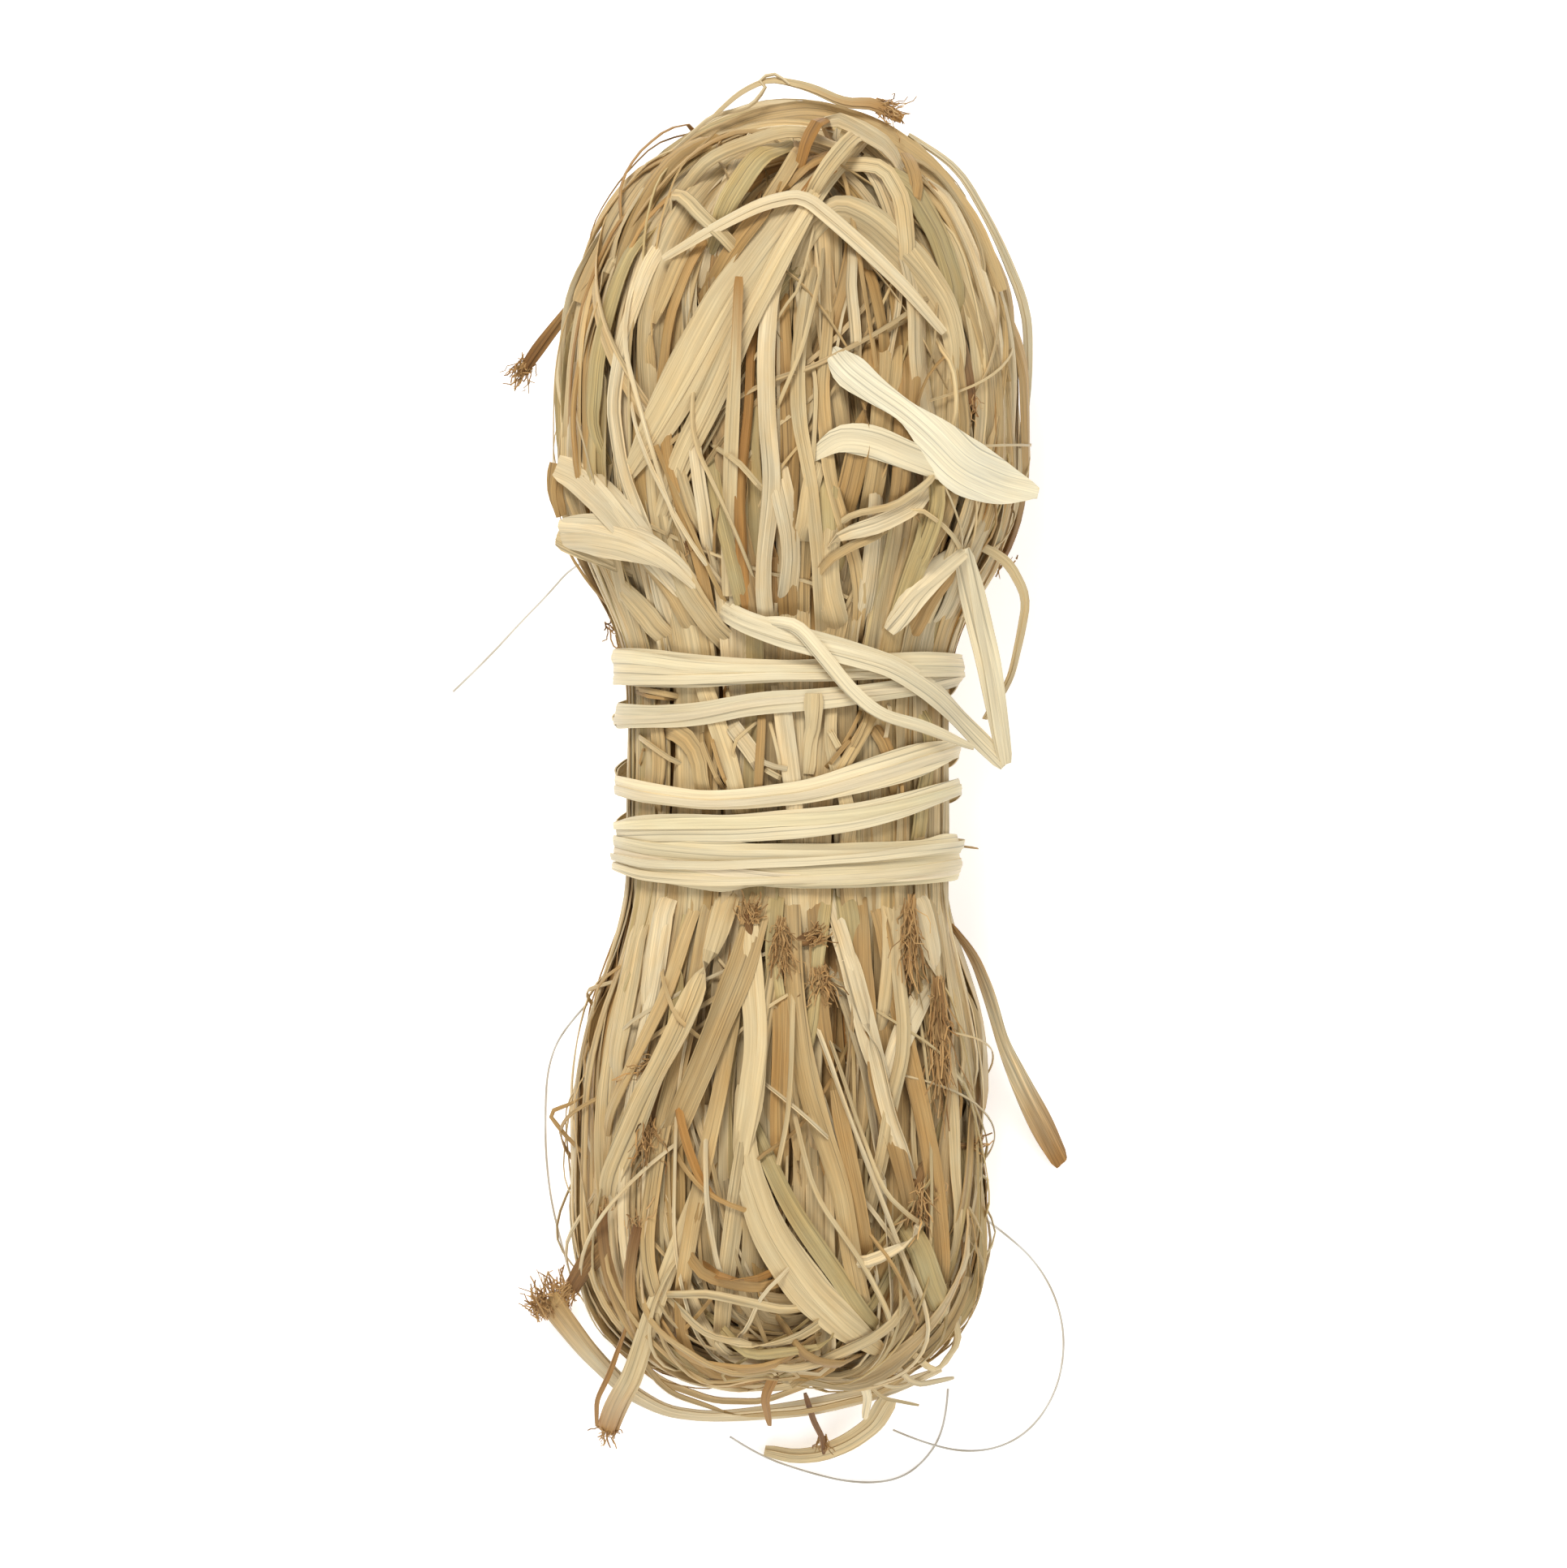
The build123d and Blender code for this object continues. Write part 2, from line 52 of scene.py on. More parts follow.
# ---- the shape of the hank, in millimetres, as in the CAD model ----
# Only the foot's reach differs: it is 41 there, and 4 mm less here, which is nearer to the photo.
WAIST = {"half_width": 29.5, "half_thickness": 20.5, "lean": 0.8}
CROWN = {"half_width": 40.5, "half_thickness": 28.5, "lean": 1.3, "reach": 52.0, "power": 2.0}
FOOT = {"half_width": 36.5, "half_thickness": 25.0, "lean": -0.7, "reach": 37.0, "power": 3.0}
WAIST_END = 16.0
BULGE_START = 60.0
ARC_CENTRE = 72.0
LAYER_DEPTH = 0.9286
REST_SINK = 0.9
END_THINNING = 0.45
ARC_STEEPNESS = 1.6
ENVELOPE_POWER = 2.5

turn_low, turn_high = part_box("binding_turn_5")
TURN_5_MIDDLE = -12.5
AXIS_X = (turn_low[0] + turn_high[0]) / 2 / MM - WAIST["lean"]
WAIST_Y = (turn_low[1] + turn_high[1]) / 2 / MM - TURN_5_MIDDLE


def to_row(points):
    """Plan coordinates in millimetres to the row frame in metres."""
    return (np.asarray(points, float) + (AXIS_X, WAIST_Y, 0.0)) * MM


# ---- camera: straight down, as the photograph was taken ----
FIELD = 289.7 * MM      # width that the picture covers at CAMERA_PLANE, the height of the hank's middle
CAMERA_HEIGHT = 1.25
CAMERA_PLANE = 25 * MM
SENSOR_WIDTH = 36.0
FAR_CLIP = 10.0


def make_camera():
    data = bpy.data.cameras.new("camera")
    data.sensor_width = SENSOR_WIDTH
    data.lens = data.sensor_width * (CAMERA_HEIGHT - CAMERA_PLANE) / FIELD
    data.clip_end = FAR_CLIP
    camera = bpy.data.objects.new("camera", data)
    camera.location = (AXIS_X * MM, WAIST_Y * MM, CAMERA_HEIGHT)
    bpy.context.scene.collection.objects.link(camera)
    bpy.context.scene.camera = camera


make_camera()


# ---- stray fibres: the cords of this object ----
FIBRE_DIAMETER = 0.4
FIBRE_REST = 0.4
FIBRES = (
    (
        "stray_fibre_left", 42 * MM,
        ((-35.6, 42, 14), (-39.4, 41, 8), (-44.4, 35.6, 2), (-50, 30, FIBRE_REST), (-56, 23.4, FIBRE_REST),
         (-62.3, 17.4, FIBRE_REST)),
    ),
    (
        "stray_fibre_foot_left", 60 * MM,
        ((-36.6, -41, 16), (-41.4, -46, 8), (-44.4, -53, 1.6), (-45, -62, FIBRE_REST),
         (-44.7, -72.6, FIBRE_REST), (-43, -83, FIBRE_REST), (-40, -93, FIBRE_REST)),
    ),
    (
        "stray_fibre_foot_right", 82 * MM,
        ((36.8, -80.4, 16), (42, -84.6, 7), (47.6, -90, 1.4), (51.6, -97, FIBRE_REST),
         (53.2, -105.6, FIBRE_REST), (51.4, -115, FIBRE_REST), (46, -122.6, FIBRE_REST), (38, -126, 1),
         (28.4, -125, 1.6), (20.6, -121.6, 1.6)),
    ),
    (
        "stray_fibre_foot", 53 * MM,
        ((-10, -122.8, 3), (-4.6, -126.6, FIBRE_REST), (4, -129.6, FIBRE_REST), (13, -131.8, FIBRE_REST),
         (21.4, -131.4, FIBRE_REST), (27, -127.4, FIBRE_REST), (30.6, -121, FIBRE_REST),
         (31, -114, FIBRE_REST)),
    ),
)


def fibre_material():
    """One bare fibre: pale and slightly shiny, browner here and there."""
    material = bpy.data.materials.new("stray_fibre")
    material.use_nodes = True
    tree = material.node_tree
    shader = tree.nodes["Principled BSDF"]
    shader.inputs["Roughness"].default_value = 0.45
    place = tree.nodes.new("ShaderNodeTexCoord")
    noise = tree.nodes.new("ShaderNodeTexNoise")
    noise.inputs["Scale"].default_value = 140.0
    noise.inputs["Detail"].default_value = 2.0
    ramp = tree.nodes.new("ShaderNodeValToRGB")
    ramp.color_ramp.elements[0].position = 0.35
    ramp.color_ramp.elements[0].color = (0.52, 0.46, 0.36, 1)
    ramp.color_ramp.elements[1].position = 0.65
    ramp.color_ramp.elements[1].color = (0.74, 0.71, 0.64, 1)
    tree.links.new(place.outputs["Object"], noise.inputs["Vector"])
    tree.links.new(noise.outputs["Fac"], ramp.inputs["Fac"])
    tree.links.new(ramp.outputs["Color"], shader.inputs["Base Color"])
    return material


def make_fibre(name, route, material):
    curve = bpy.data.curves.new(name, "CURVE")
    curve.dimensions = "3D"
    curve.bevel_depth = FIBRE_DIAMETER / 2 * MM
    curve.bevel_resolution = 2
    spline = curve.splines.new("NURBS")
    spline.points.add(len(route) - 1)
    for point, place in zip(spline.points, to_row(route)):
        point.co = (*place, 1.0)
    spline.order_u = 3
    spline.use_endpoint_u = True
    curve.materials.append(material)
    fibre = bpy.data.objects.new(name + "_curve", curve)
    bpy.context.scene.collection.objects.link(fibre)
    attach(fibre, "root")
    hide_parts(name)


stray_material = fibre_material()
for name, length, route in FIBRES:
    make_fibre(name, route, stray_material)


# ---- the envelope of the hank ----
def ease(start, end, first, last, y):
    """Goes smoothly from start to end while y goes from first to last."""
    t = np.clip((y - first) / (last - first), 0.0, 1.0)
    return start + (end - start) * (1 - np.cos(np.pi * t)) / 2


def along(name, y):
    """A size that is one value at the waist and another at each bulge."""
    crown = ease(WAIST[name], CROWN[name], WAIST_END, BULGE_START, y)
    foot = ease(WAIST[name], FOOT[name], -WAIST_END, -BULGE_START, y)
    return np.where(y >= 0, crown, foot)


def past_bulge(y):
    """How far y is past the widest part, from 0 there to 1 at the end of the hank."""
    reach = np.where(y >= 0, CROWN["reach"], FOOT["reach"])
    return np.clip((np.abs(y) - ARC_CENTRE) / reach, 0.0, 1.0)


def half_thickness(y):
    return along("half_thickness", y) * np.sqrt(1 - END_THINNING * past_bulge(y) ** 2)


def mid_height(y):
    crown = LAYER_DEPTH * CROWN["half_thickness"] - REST_SINK
    foot = LAYER_DEPTH * FOOT["half_thickness"] - REST_SINK
    return ease(foot, crown, -BULGE_START, BULGE_START, y)


def outline(y):
    """Half width of the plan outline at y, ends included."""
    power = np.where(y >= 0, CROWN["power"], FOOT["power"])
    return along("half_width", y) * (1 - past_bulge(y) ** power) ** (1 / power)


def unit(vectors):
    return vectors / np.maximum(np.linalg.norm(vectors, axis=-1, keepdims=True), 1e-9)


OUTSIDE_LIMIT = 1.2     # how far out of the envelope a point still counts, in half sizes
SLOPE_STEP = 0.5


def skin_normals(points):
    """Outward direction of the envelope near each point, round its ends too."""
    x, y, z = points.T
    wide, high = along("half_width", y), half_thickness(y)
    reach = np.where(y >= 0, CROWN["reach"], FOOT["reach"])
    end_power = np.where(y >= 0, CROWN["power"], FOOT["power"])
    across = np.clip((x - along("lean", y)) / wide, -OUTSIDE_LIMIT, OUTSIDE_LIMIT)
    past = np.clip((np.abs(y) - ARC_CENTRE) / reach, 0.0, OUTSIDE_LIMIT)
    rise = np.clip((z - mid_height(y)) / high, -OUTSIDE_LIMIT, OUTSIDE_LIMIT)
    after, before = y + SLOPE_STEP, y - SLOPE_STEP
    widening = (along("half_width", after) - along("half_width", before)) / (2 * SLOPE_STEP)
    swell = (half_thickness(after) - half_thickness(before)) / (2 * SLOPE_STEP)
    p = ENVELOPE_POWER
    plan = np.maximum(np.abs(across) ** end_power + past**end_power, 1e-6) ** (p / end_power - 1)
    nx = plan * np.sign(across) * np.abs(across) ** (end_power - 1) / wide
    ny = plan * (np.sign(y) * past ** (end_power - 1) / reach
                 - np.abs(across) ** end_power * widening / wide)
    ny = ny - np.abs(rise) ** p * swell / high
    nz = np.sign(rise) * np.abs(rise) ** (p - 1) / high
    return unit(np.stack([nx, ny, nz], -1))


def skin(turn, y):
    """Point of the envelope at y, turn being 0 on the right, a quarter turn on the face."""
    cos, sin = np.cos(turn), np.sin(turn)
    power = 2 / ENVELOPE_POWER
    x = along("lean", y) + outline(y) * np.sign(cos) * np.abs(cos) ** power
    z = mid_height(y) + half_thickness(y) * np.sign(sin) * np.abs(sin) ** power
    return np.stack([x, y, z], -1)


def face_height(x, y):
    """Height of the upper surface over a point of the plan."""
    side = np.minimum(1.0, np.abs(x - along("lean", y)) / np.maximum(outline(y), 1.0))
    return mid_height(y) + half_thickness(y) * (1 - side**ENVELOPE_POWER) ** (1 / ENVELOPE_POWER)


# ---- materials ----
def add_node(tree, kind, **values):
    made = tree.nodes.new(kind)
    for name, value in values.items():
        setattr(made, name, value)
    return made


def stretched_noise(tree, place, across_per_mm, along_per_mm, detail):
    """Noise in the strip's own coordinates, drawn out along its fibres."""
    scale = add_node(tree, "ShaderNodeVectorMath", operation="MULTIPLY")
    scale.inputs[1].default_value = (across_per_mm, along_per_mm, 7.3)
    noise = add_node(tree, "ShaderNodeTexNoise")
    noise.inputs["Scale"].default_value = 1.0
    noise.inputs["Detail"].default_value = detail
    noise.inputs["Roughness"].default_value = 0.6
    tree.links.new(place, scale.inputs[0])
    tree.links.new(scale.outputs[0], noise.inputs["Vector"])
    return noise.outputs["Fac"]


def spread(tree, value, low, high, start=0.3, stop=0.7):
    """Stretches the part of a noise from start to stop to the range low to high."""
    remap = add_node(tree, "ShaderNodeMapRange")
    remap.inputs["From Min"].default_value = start
    remap.inputs["From Max"].default_value = stop
    remap.inputs["To Min"].default_value = low
    remap.inputs["To Max"].default_value = high
    tree.links.new(value, remap.inputs["Value"])
    return remap.outputs["Result"]


def raffia_material(name, streak=0.30, roughness=0.6, warmth=0.55, relief=0.12, crease_painted_shade=0.45):
    """Dry leaf: fine parallel fibres along the strip, and thin dark lines along it as painted shade in its
    creases, over the tint that each strip carries.
    """
    material = bpy.data.materials.new(name)
    material.use_nodes = True
    tree = material.node_tree
    link = tree.links.new
    shader = tree.nodes["Principled BSDF"]
    shader.inputs["Roughness"].default_value = roughness
    shader.inputs["Specular IOR Level"].default_value = 0.35
    shader.inputs["Sheen Weight"].default_value = 0.08
    shader.inputs["Sheen Roughness"].default_value = 0.4

    place = add_node(tree, "ShaderNodeAttribute", attribute_name="fibre").outputs["Vector"]
    tint = add_node(tree, "ShaderNodeAttribute", attribute_name="tint").outputs["Color"]
    fine = stretched_noise(tree, place, 4.5, 0.05, 3.0)
    broad = stretched_noise(tree, place, 1.1, 0.03, 2.0)
    mottle = stretched_noise(tree, place, 0.3, 0.1, 3.0)
    creases = stretched_noise(tree, place, 2.2, 0.012, 1.0)

    def darkened(tone, noise, *limits):
        times = add_node(tree, "ShaderNodeMath", operation="MULTIPLY")
        link(tone, times.inputs[0])
        link(spread(tree, noise, *limits), times.inputs[1])
        return times.outputs[0]

    shade = spread(tree, fine, 1 - streak, 1 + 0.3 * streak)
    shade = darkened(shade, broad, 1 - 0.8 * streak, 1 + 0.35 * streak)
    # painted shade: thin dark lines along the strip, for the shade in its creases
    shade = darkened(shade, creases, 1 - crease_painted_shade, 1.0, 0.30, 0.40)
    shaded = add_node(tree, "ShaderNodeVectorMath", operation="SCALE")
    link(tint, shaded.inputs[0])
    link(shade, shaded.inputs["Scale"])

    warm = add_node(tree, "ShaderNodeMix", data_type="RGBA", blend_type="MULTIPLY")
    warm.inputs[7].default_value = (1.0, 0.78, 0.48, 1.0)
    link(spread(tree, mottle, 0.0, warmth), warm.inputs[0])
    link(shaded.outputs[0], warm.inputs[6])
    link(warm.outputs[2], shader.inputs["Base Color"])

    bump = add_node(tree, "ShaderNodeBump")
    bump.inputs["Strength"].default_value = 0.7
    bump.inputs["Distance"].default_value = relief * MM
    link(fine, bump.inputs["Height"])
    link(bump.outputs["Normal"], shader.inputs["Normal"])
    return material


MATERIALS = {
    "raffia": raffia_material("raffia_strips"),
    "binding": raffia_material("binding_strip", streak=0.18, roughness=0.5, warmth=0.2, crease_painted_shade=0.4),
    "loose": raffia_material("loose_strips", streak=0.2, roughness=0.52, warmth=0.35, crease_painted_shade=0.35),
    "root": raffia_material("root_ends", streak=0.45, roughness=0.8, warmth=0.6),
}

# Tints, linear RGB.
BRIGHT = (0.95, 0.87, 0.63)
FRESH = (0.86, 0.75, 0.50)
PALE = (0.82, 0.69, 0.44)
CREAM = (0.74, 0.59, 0.33)
STRAW = (0.63, 0.46, 0.22)
GREENISH = (0.57, 0.455, 0.215)
TAN = (0.52, 0.335, 0.13)
ORANGE = (0.47, 0.25, 0.07)
BROWN = (0.24, 0.115, 0.035)
FRAY_ROOT = (0.33, 0.17, 0.055)
FRAY_TIP = (0.70, 0.46, 0.20)
PALETTE = (PALE, CREAM, STRAW, GREENISH, TAN, ORANGE)
PALETTE_SHARE = (0.17, 0.30, 0.22, 0.12, 0.13, 0.06)


# ---- ribbons ----
FLOOR_GAP = 0.25
SHARP_ANGLE = math.radians(34)
GRAIN_SHIFT = 1.37      # moves the grain of each strip, so that no two look alike


class Bank:
    """Gathers ribbons into one mesh with their fibre coordinates and tints."""

    def __init__(self):
        self.verts, self.quads, self.fibre, self.tint = [], [], [], []
        self.count = 0
        self.strips = 0

    def add(self, rings, across, along_mm, tint):
        """rings: stations x ring points x 3, the upper side first and the lower side back again."""
        stations, ring = rings.shape[:2]
        half = ring // 2
        rings[..., 2] = np.maximum(rings[..., 2], FLOOR_GAP)
        start = self.count + np.arange(stations - 1)[:, None] * ring
        j = np.arange(ring)[None, :]
        k = (j + 1) % ring
        walls = np.stack([start + k, start + j, start + ring + j, start + ring + k], -1).reshape(-1, 4)
        c = np.arange(half - 1)
        cap = np.stack([c + 1, ring - 2 - c, ring - 1 - c, c], -1) + self.count
        far = cap[:, ::-1] + (stations - 1) * ring
        self.quads += [walls, cap, far]
        self.verts.append(rings.reshape(-1, 3))
        place = np.empty((stations, ring, 3))
        place[..., 0] = across
        place[..., 1] = along_mm[:, None]
        place[..., 2] = self.strips * GRAIN_SHIFT
        self.fibre.append(place.reshape(-1, 3))
        colours = np.ones((stations, ring, 4))
        colours[..., :3] = tint[:, None, :]
        self.tint.append(colours.reshape(-1, 4))
        self.count += stations * ring
        self.strips += 1

    def mesh(self, name):
        mesh = bpy.data.meshes.new(name)
        quads = np.concatenate(self.quads)
        mesh.vertices.add(self.count)
        mesh.vertices.foreach_set("co", to_row(np.concatenate(self.verts)).ravel())
        mesh.loops.add(quads.size)
        mesh.loops.foreach_set("vertex_index", quads.ravel().astype(np.int32))
        mesh.polygons.add(len(quads))
        mesh.polygons.foreach_set("loop_start", np.arange(0, quads.size, 4, dtype=np.int32))
        mesh.update(calc_edges=True)
        mesh.validate()
        mesh.polygons.foreach_set("use_smooth", np.ones(len(mesh.polygons), bool))
        mesh.set_sharp_from_angle(angle=SHARP_ANGLE)
        mesh.attributes.new("fibre", "FLOAT_VECTOR", "POINT").data.foreach_set(
            "vector", np.concatenate(self.fibre).ravel())
        mesh.attributes.new("tint", "FLOAT_COLOR", "POINT").data.foreach_set(
            "color", np.concatenate(self.tint).ravel())
        return mesh


def make_piece(bank, name, kind, *nodes):
    """Turns a bank into a piece of the object that rides on the body and stands for the CAD nodes."""
    piece = bpy.data.objects.new(name, bank.mesh(name))
    piece.data.materials.append(MATERIALS[kind])
    bpy.context.scene.collection.objects.link(piece)
    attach(piece, "root")
    if nodes:
        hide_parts(*nodes)


def lengths_along(points):
    return np.concatenate([[0.0], np.cumsum(np.linalg.norm(np.diff(points[:, :3], axis=0), axis=1))])


def resample(points, spacing):
    """The same line with a point every spacing millimetres or so."""
    distance = lengths_along(points)
    count = max(4, int(distance[-1] / spacing) + 1)
    at = np.linspace(0, distance[-1], count)
    return np.stack([np.interp(at, distance, points[:, i]) for i in range(points.shape[1])], -1)


def rounded(points, passes=2, cut=0.2):
    """Cuts the corners of a route of any number of columns, keeping its ends."""
    points = np.asarray(points, float)
    for _ in range(passes):
        first = points[:-1] * (1 - cut) + points[1:] * cut
        second = points[:-1] * cut + points[1:] * (1 - cut)
        inner = np.stack([first, second], 1).reshape(-1, points.shape[1])
        points = np.concatenate([points[:1], inner[1:-1], points[-1:]])
    return points


KNOT_JITTER = 0.38


def kinks(rng, distance, spacing, size, blur=1.5):
    """A wandering value along a strip: straight between random knots, with slightly rounded corners."""
    count = max(3, int((distance[-1] - distance[0]) / spacing) + 2)
    knots = np.linspace(distance[0], distance[-1], count)
    knots[1:-1] += rng.uniform(-KNOT_JITTER, KNOT_JITTER, count - 2) * (knots[1] - knots[0])
    values = rng.normal(0.0, size, count)
    steps = np.linspace(-blur, blur, 5)
    return np.mean([np.interp(distance + step, knots, values) for step in steps], axis=0)


CREASE_SPACING = 45
CREASE_CHANGE = 0.6     # part of a crease that comes and goes, against the part that runs right through
CREASE_CONSTANT = 0.8


def leaf_profile(rng, distance, samples, curl, crease):
    """Slopes of the facets across a strip at each station: curled edges and lengthwise creases."""
    middles = (np.arange(samples - 1) + 0.5) / (samples - 1) * 2 - 1
    count = max(2, int(distance[-1] / CREASE_SPACING) + 2)
    knots = np.linspace(0, distance[-1], count)
    knot_slopes = rng.normal(0, crease, (count, samples - 1)) * CREASE_CHANGE
    knot_slopes += rng.normal(0, crease, (1, samples - 1)) * CREASE_CONSTANT
    slopes = np.stack([np.interp(distance, knots, knot_slopes[:, i]) for i in range(samples - 1)], -1)
    return slopes - curl * middles[None, :]


ROLL_SPACING = 26
WIDTH_SPACING = 14
WIDTH_CHANGE = 0.09
SHADE_SPACING = 35
SHADE_CHANGE = 0.06
FREE_TO_FLIP = 0.6
FLIP_REACH = 5
FLIP_NARROWING = 0.45
END_TAPER = 5
END_TINT_REACH = (12, 26)
GRAIN_START = 400


def roll_and_width(rng, distance, widths, roll, roll_size, ends, flips, free):
    """Roll angle and width of a strip at each station, narrow where it flips over and at its ends."""
    total = distance[-1]
    angle = (roll + kinks(rng, distance, ROLL_SPACING, roll_size)) * free
    width = np.broadcast_to(widths, distance.shape) * (1 + kinks(rng, distance, WIDTH_SPACING, WIDTH_CHANGE))
    for _ in range(flips):
        place = rng.uniform(0.15, 0.85) * total
        if np.interp(place, distance, free) < FREE_TO_FLIP:
            continue
        angle = angle + np.pi * ease(0, 1, place - FLIP_REACH, place + FLIP_REACH, distance)
        width = width * (1 - FLIP_NARROWING * np.exp(-(((distance - place) / FLIP_REACH) ** 2)))
    start = np.clip(ends[0] + distance / END_TAPER, 0, 1)
    end = np.clip(ends[1] + (total - distance) / END_TAPER, 0, 1)
    return angle, width * start * end


def cross_sections(points, side, up, width, slopes, thickness):
    """Rings of a strip: its upper side from edge to edge, then its lower side back again."""
    edge = np.zeros((len(points), 1))
    run = width[:, None] / slopes.shape[1] / np.sqrt(1 + slopes**2)
    flat = np.concatenate([edge, np.cumsum(run, axis=1)], axis=1)
    flat = flat - flat[:, -1:] / 2
    rise = np.concatenate([edge, np.cumsum(run * slopes, axis=1)], axis=1)
    rise = rise - rise.mean(axis=1, keepdims=True)
    upper = points[:, None, :] + side[:, None, :] * flat[..., None] + up[:, None, :] * rise[..., None]
    lower = upper - up[:, None, :] * np.minimum(thickness, 0.6 * width)[:, None, None]
    return np.concatenate([upper, lower[:, ::-1]], axis=1)


def strip_colours(rng, distance, tint, end_tints):
    """Tint of a strip at each station, going over to another tint at the ends that have one."""
    colours = np.tile(np.asarray(tint, float), (len(distance), 1))
    colours *= (1 + kinks(rng, distance, SHADE_SPACING, SHADE_CHANGE))[:, None]
    for end_tint, reach in zip(end_tints, (distance, distance[-1] - distance)):
        if end_tint is not None:
            mix = np.clip(1 - reach / rng.uniform(*END_TINT_REACH), 0, 1)[:, None] ** 0.8
            colours = colours * (1 - mix) + np.asarray(end_tint) * mix
    return colours


def add_ribbon(bank, rng, points, normals, widths, tint, curl=0.5, crease=0.35, roll=0.0, roll_size=0.3,
               thickness=0.2, samples=5, ends=(0.8, 0.8), end_tints=(None, None), flips=0, free=1.0):
    """One strip of leaf along points. normals says which way its face looks before it rolls, and free,
    from 0 to 1, how much it may roll, cup and flip."""
    distance = lengths_along(points)
    free = np.broadcast_to(free, distance.shape)
    tangents = unit(np.gradient(points, axis=0))
    side = unit(np.cross(tangents, normals))
    up = np.cross(side, tangents)
    angle, width = roll_and_width(rng, distance, widths, roll, roll_size, ends, flips, free)
    cos, sin = np.cos(angle)[:, None], np.sin(angle)[:, None]
    side, up = side * cos + up * sin, up * cos - side * sin

    slopes = leaf_profile(rng, distance, samples, curl, crease) if samples > 2 else np.zeros((len(points), 1))
    rings = cross_sections(points, side, up, width, slopes * np.sqrt(free)[:, None], thickness)
    across = (np.arange(samples) / (samples - 1) - 0.5) * width[:, None]
    across = np.concatenate([across, across[:, ::-1]], axis=1)
    colours = strip_colours(rng, distance, tint, end_tints)
    bank.add(rings, across, distance + rng.uniform(0, GRAIN_START), colours)


BASE_SHARE = 0.75
SHADE_RANGE = (0.88, 1.06)
WIDE_SHARE, MIDDLE_SHARE = 0.26, 0.5
WIDE, MIDDLE, NARROW = (4.6, 7.4), (2.4, 4.6), (0.7, 2.2)


def pick_tint(rng):
    base = np.array(PALETTE[rng.choice(len(PALETTE), p=PALETTE_SHARE)])
    other = np.array(PALETTE[rng.choice(len(PALETTE), p=PALETTE_SHARE)])
    return (base * BASE_SHARE + other * (1 - BASE_SHARE)) * rng.uniform(*SHADE_RANGE)


def pick_width(rng):
    kind = rng.random()
    if kind < WIDE_SHARE:
        return rng.uniform(*WIDE)
    if kind < WIDE_SHARE + MIDDLE_SHARE:
        return rng.uniform(*MIDDLE)
    return rng.uniform(*NARROW)


FRAY_POINTS = 7
FRAY_WIDTHS = (0.12, 0.3)


def add_fray(bank, rng, base, aim, length, width, count):
    """A brush of fine fibres, tan to brown, at the root end of a strip."""
    base, aim = np.array(base, float), unit(np.array(aim, float))
    side = unit(np.cross(aim, (0, 0, 1)))
    for _ in range(count):
        spread_out = min(0.2, 0.9 / length)
        heading = unit(aim + side * rng.normal(0, spread_out) + np.array((0, 0, rng.normal(0.02, 0.1))))
        start = base + side * rng.uniform(-0.5, 0.5) * width - aim * rng.uniform(0, 0.6) * length
        reach = length * rng.uniform(0.4, 1.0)
        run = np.linspace(0, 1, FRAY_POINTS)[:, None]
        curl = np.cumsum(rng.normal(0, 0.13, (FRAY_POINTS, 3)), axis=0) * min(reach, 5)
        points = start + heading * run * reach + curl * run
        share = rng.uniform(0, 1) ** 0.7
        tint = np.array(FRAY_ROOT) * (1 - share) + np.array(FRAY_TIP) * share
        upward = np.tile((0.0, 0.0, 1.0), (FRAY_POINTS, 1))
        add_ribbon(bank, rng, points, upward, rng.uniform(*FRAY_WIDTHS), tint, samples=2, thickness=0.14,
                   roll_size=0.2)


# ---- the wound strips: nested loops that stand for the CAD bundles ----
LAYER_NAMES = ("underside", "lower", "upper", "face")
LAYER_LIMITS = (-0.5, 0.0, 0.5)
COLUMN_NAMES = ("core", "inner_loop", "outer_loop")
COLUMN_LIMITS = (0.2, 0.6)
ARC_POINTS = 40
LEG_POINTS = 58
LINE_POINTS = 2 * (ARC_POINTS + LEG_POINTS)
NEARLY_FULL = 0.995
END_ROUNDING = 0.42     # how much less the top and bottom loops reach than those at half height
ROUTE_SPACING = 3.0


def part_left(share):
    """What the envelope leaves of one half size where share of the other is used."""
    return (1 - share**ENVELOPE_POWER) ** (1 / ENVELOPE_POWER)


def loop_line(share, height):
    """Plan line of a whole loop, from its foot up the right, over the crown and down the left."""
    narrow = part_left(min(abs(height), NEARLY_FULL))
    short = math.sqrt(1 - END_ROUNDING * height**2)
    arcs, centres = {}, {}
    for sign, end in ((-1, FOOT), (1, CROWN)):
        across = max(share * narrow * end["half_width"], 0.8)
        apex = ARC_CENTRE + end["reach"] * short - (1 - share) * narrow * end["half_width"]
        rise = min(apex - ARC_CENTRE, ARC_STEEPNESS * across)
        centres[sign] = apex - rise
        angle = np.linspace(0, math.pi, ARC_POINTS)
        cos, sin = np.cos(angle), np.clip(np.sin(angle), 0, 1)
        x = end["lean"] + across * np.sign(cos) * np.abs(cos) ** (2 / end["power"])
        y = sign * (apex - rise + rise * sin ** (2 / end["power"]))
        arcs[sign] = np.stack([x, y], -1)
    y = np.linspace(-centres[-1], centres[1], LEG_POINTS + 2)[1:-1]
    reach = share * narrow * along("half_width", y)
    right = np.stack([along("lean", y) + reach, y], -1)
    left = np.stack([along("lean", y) - reach, y], -1)[::-1]
    half = ARC_POINTS // 2
    foot = arcs[-1]
    return np.concatenate([foot[half - 1::-1], right, arcs[1], left, foot[:half - 1:-1]])


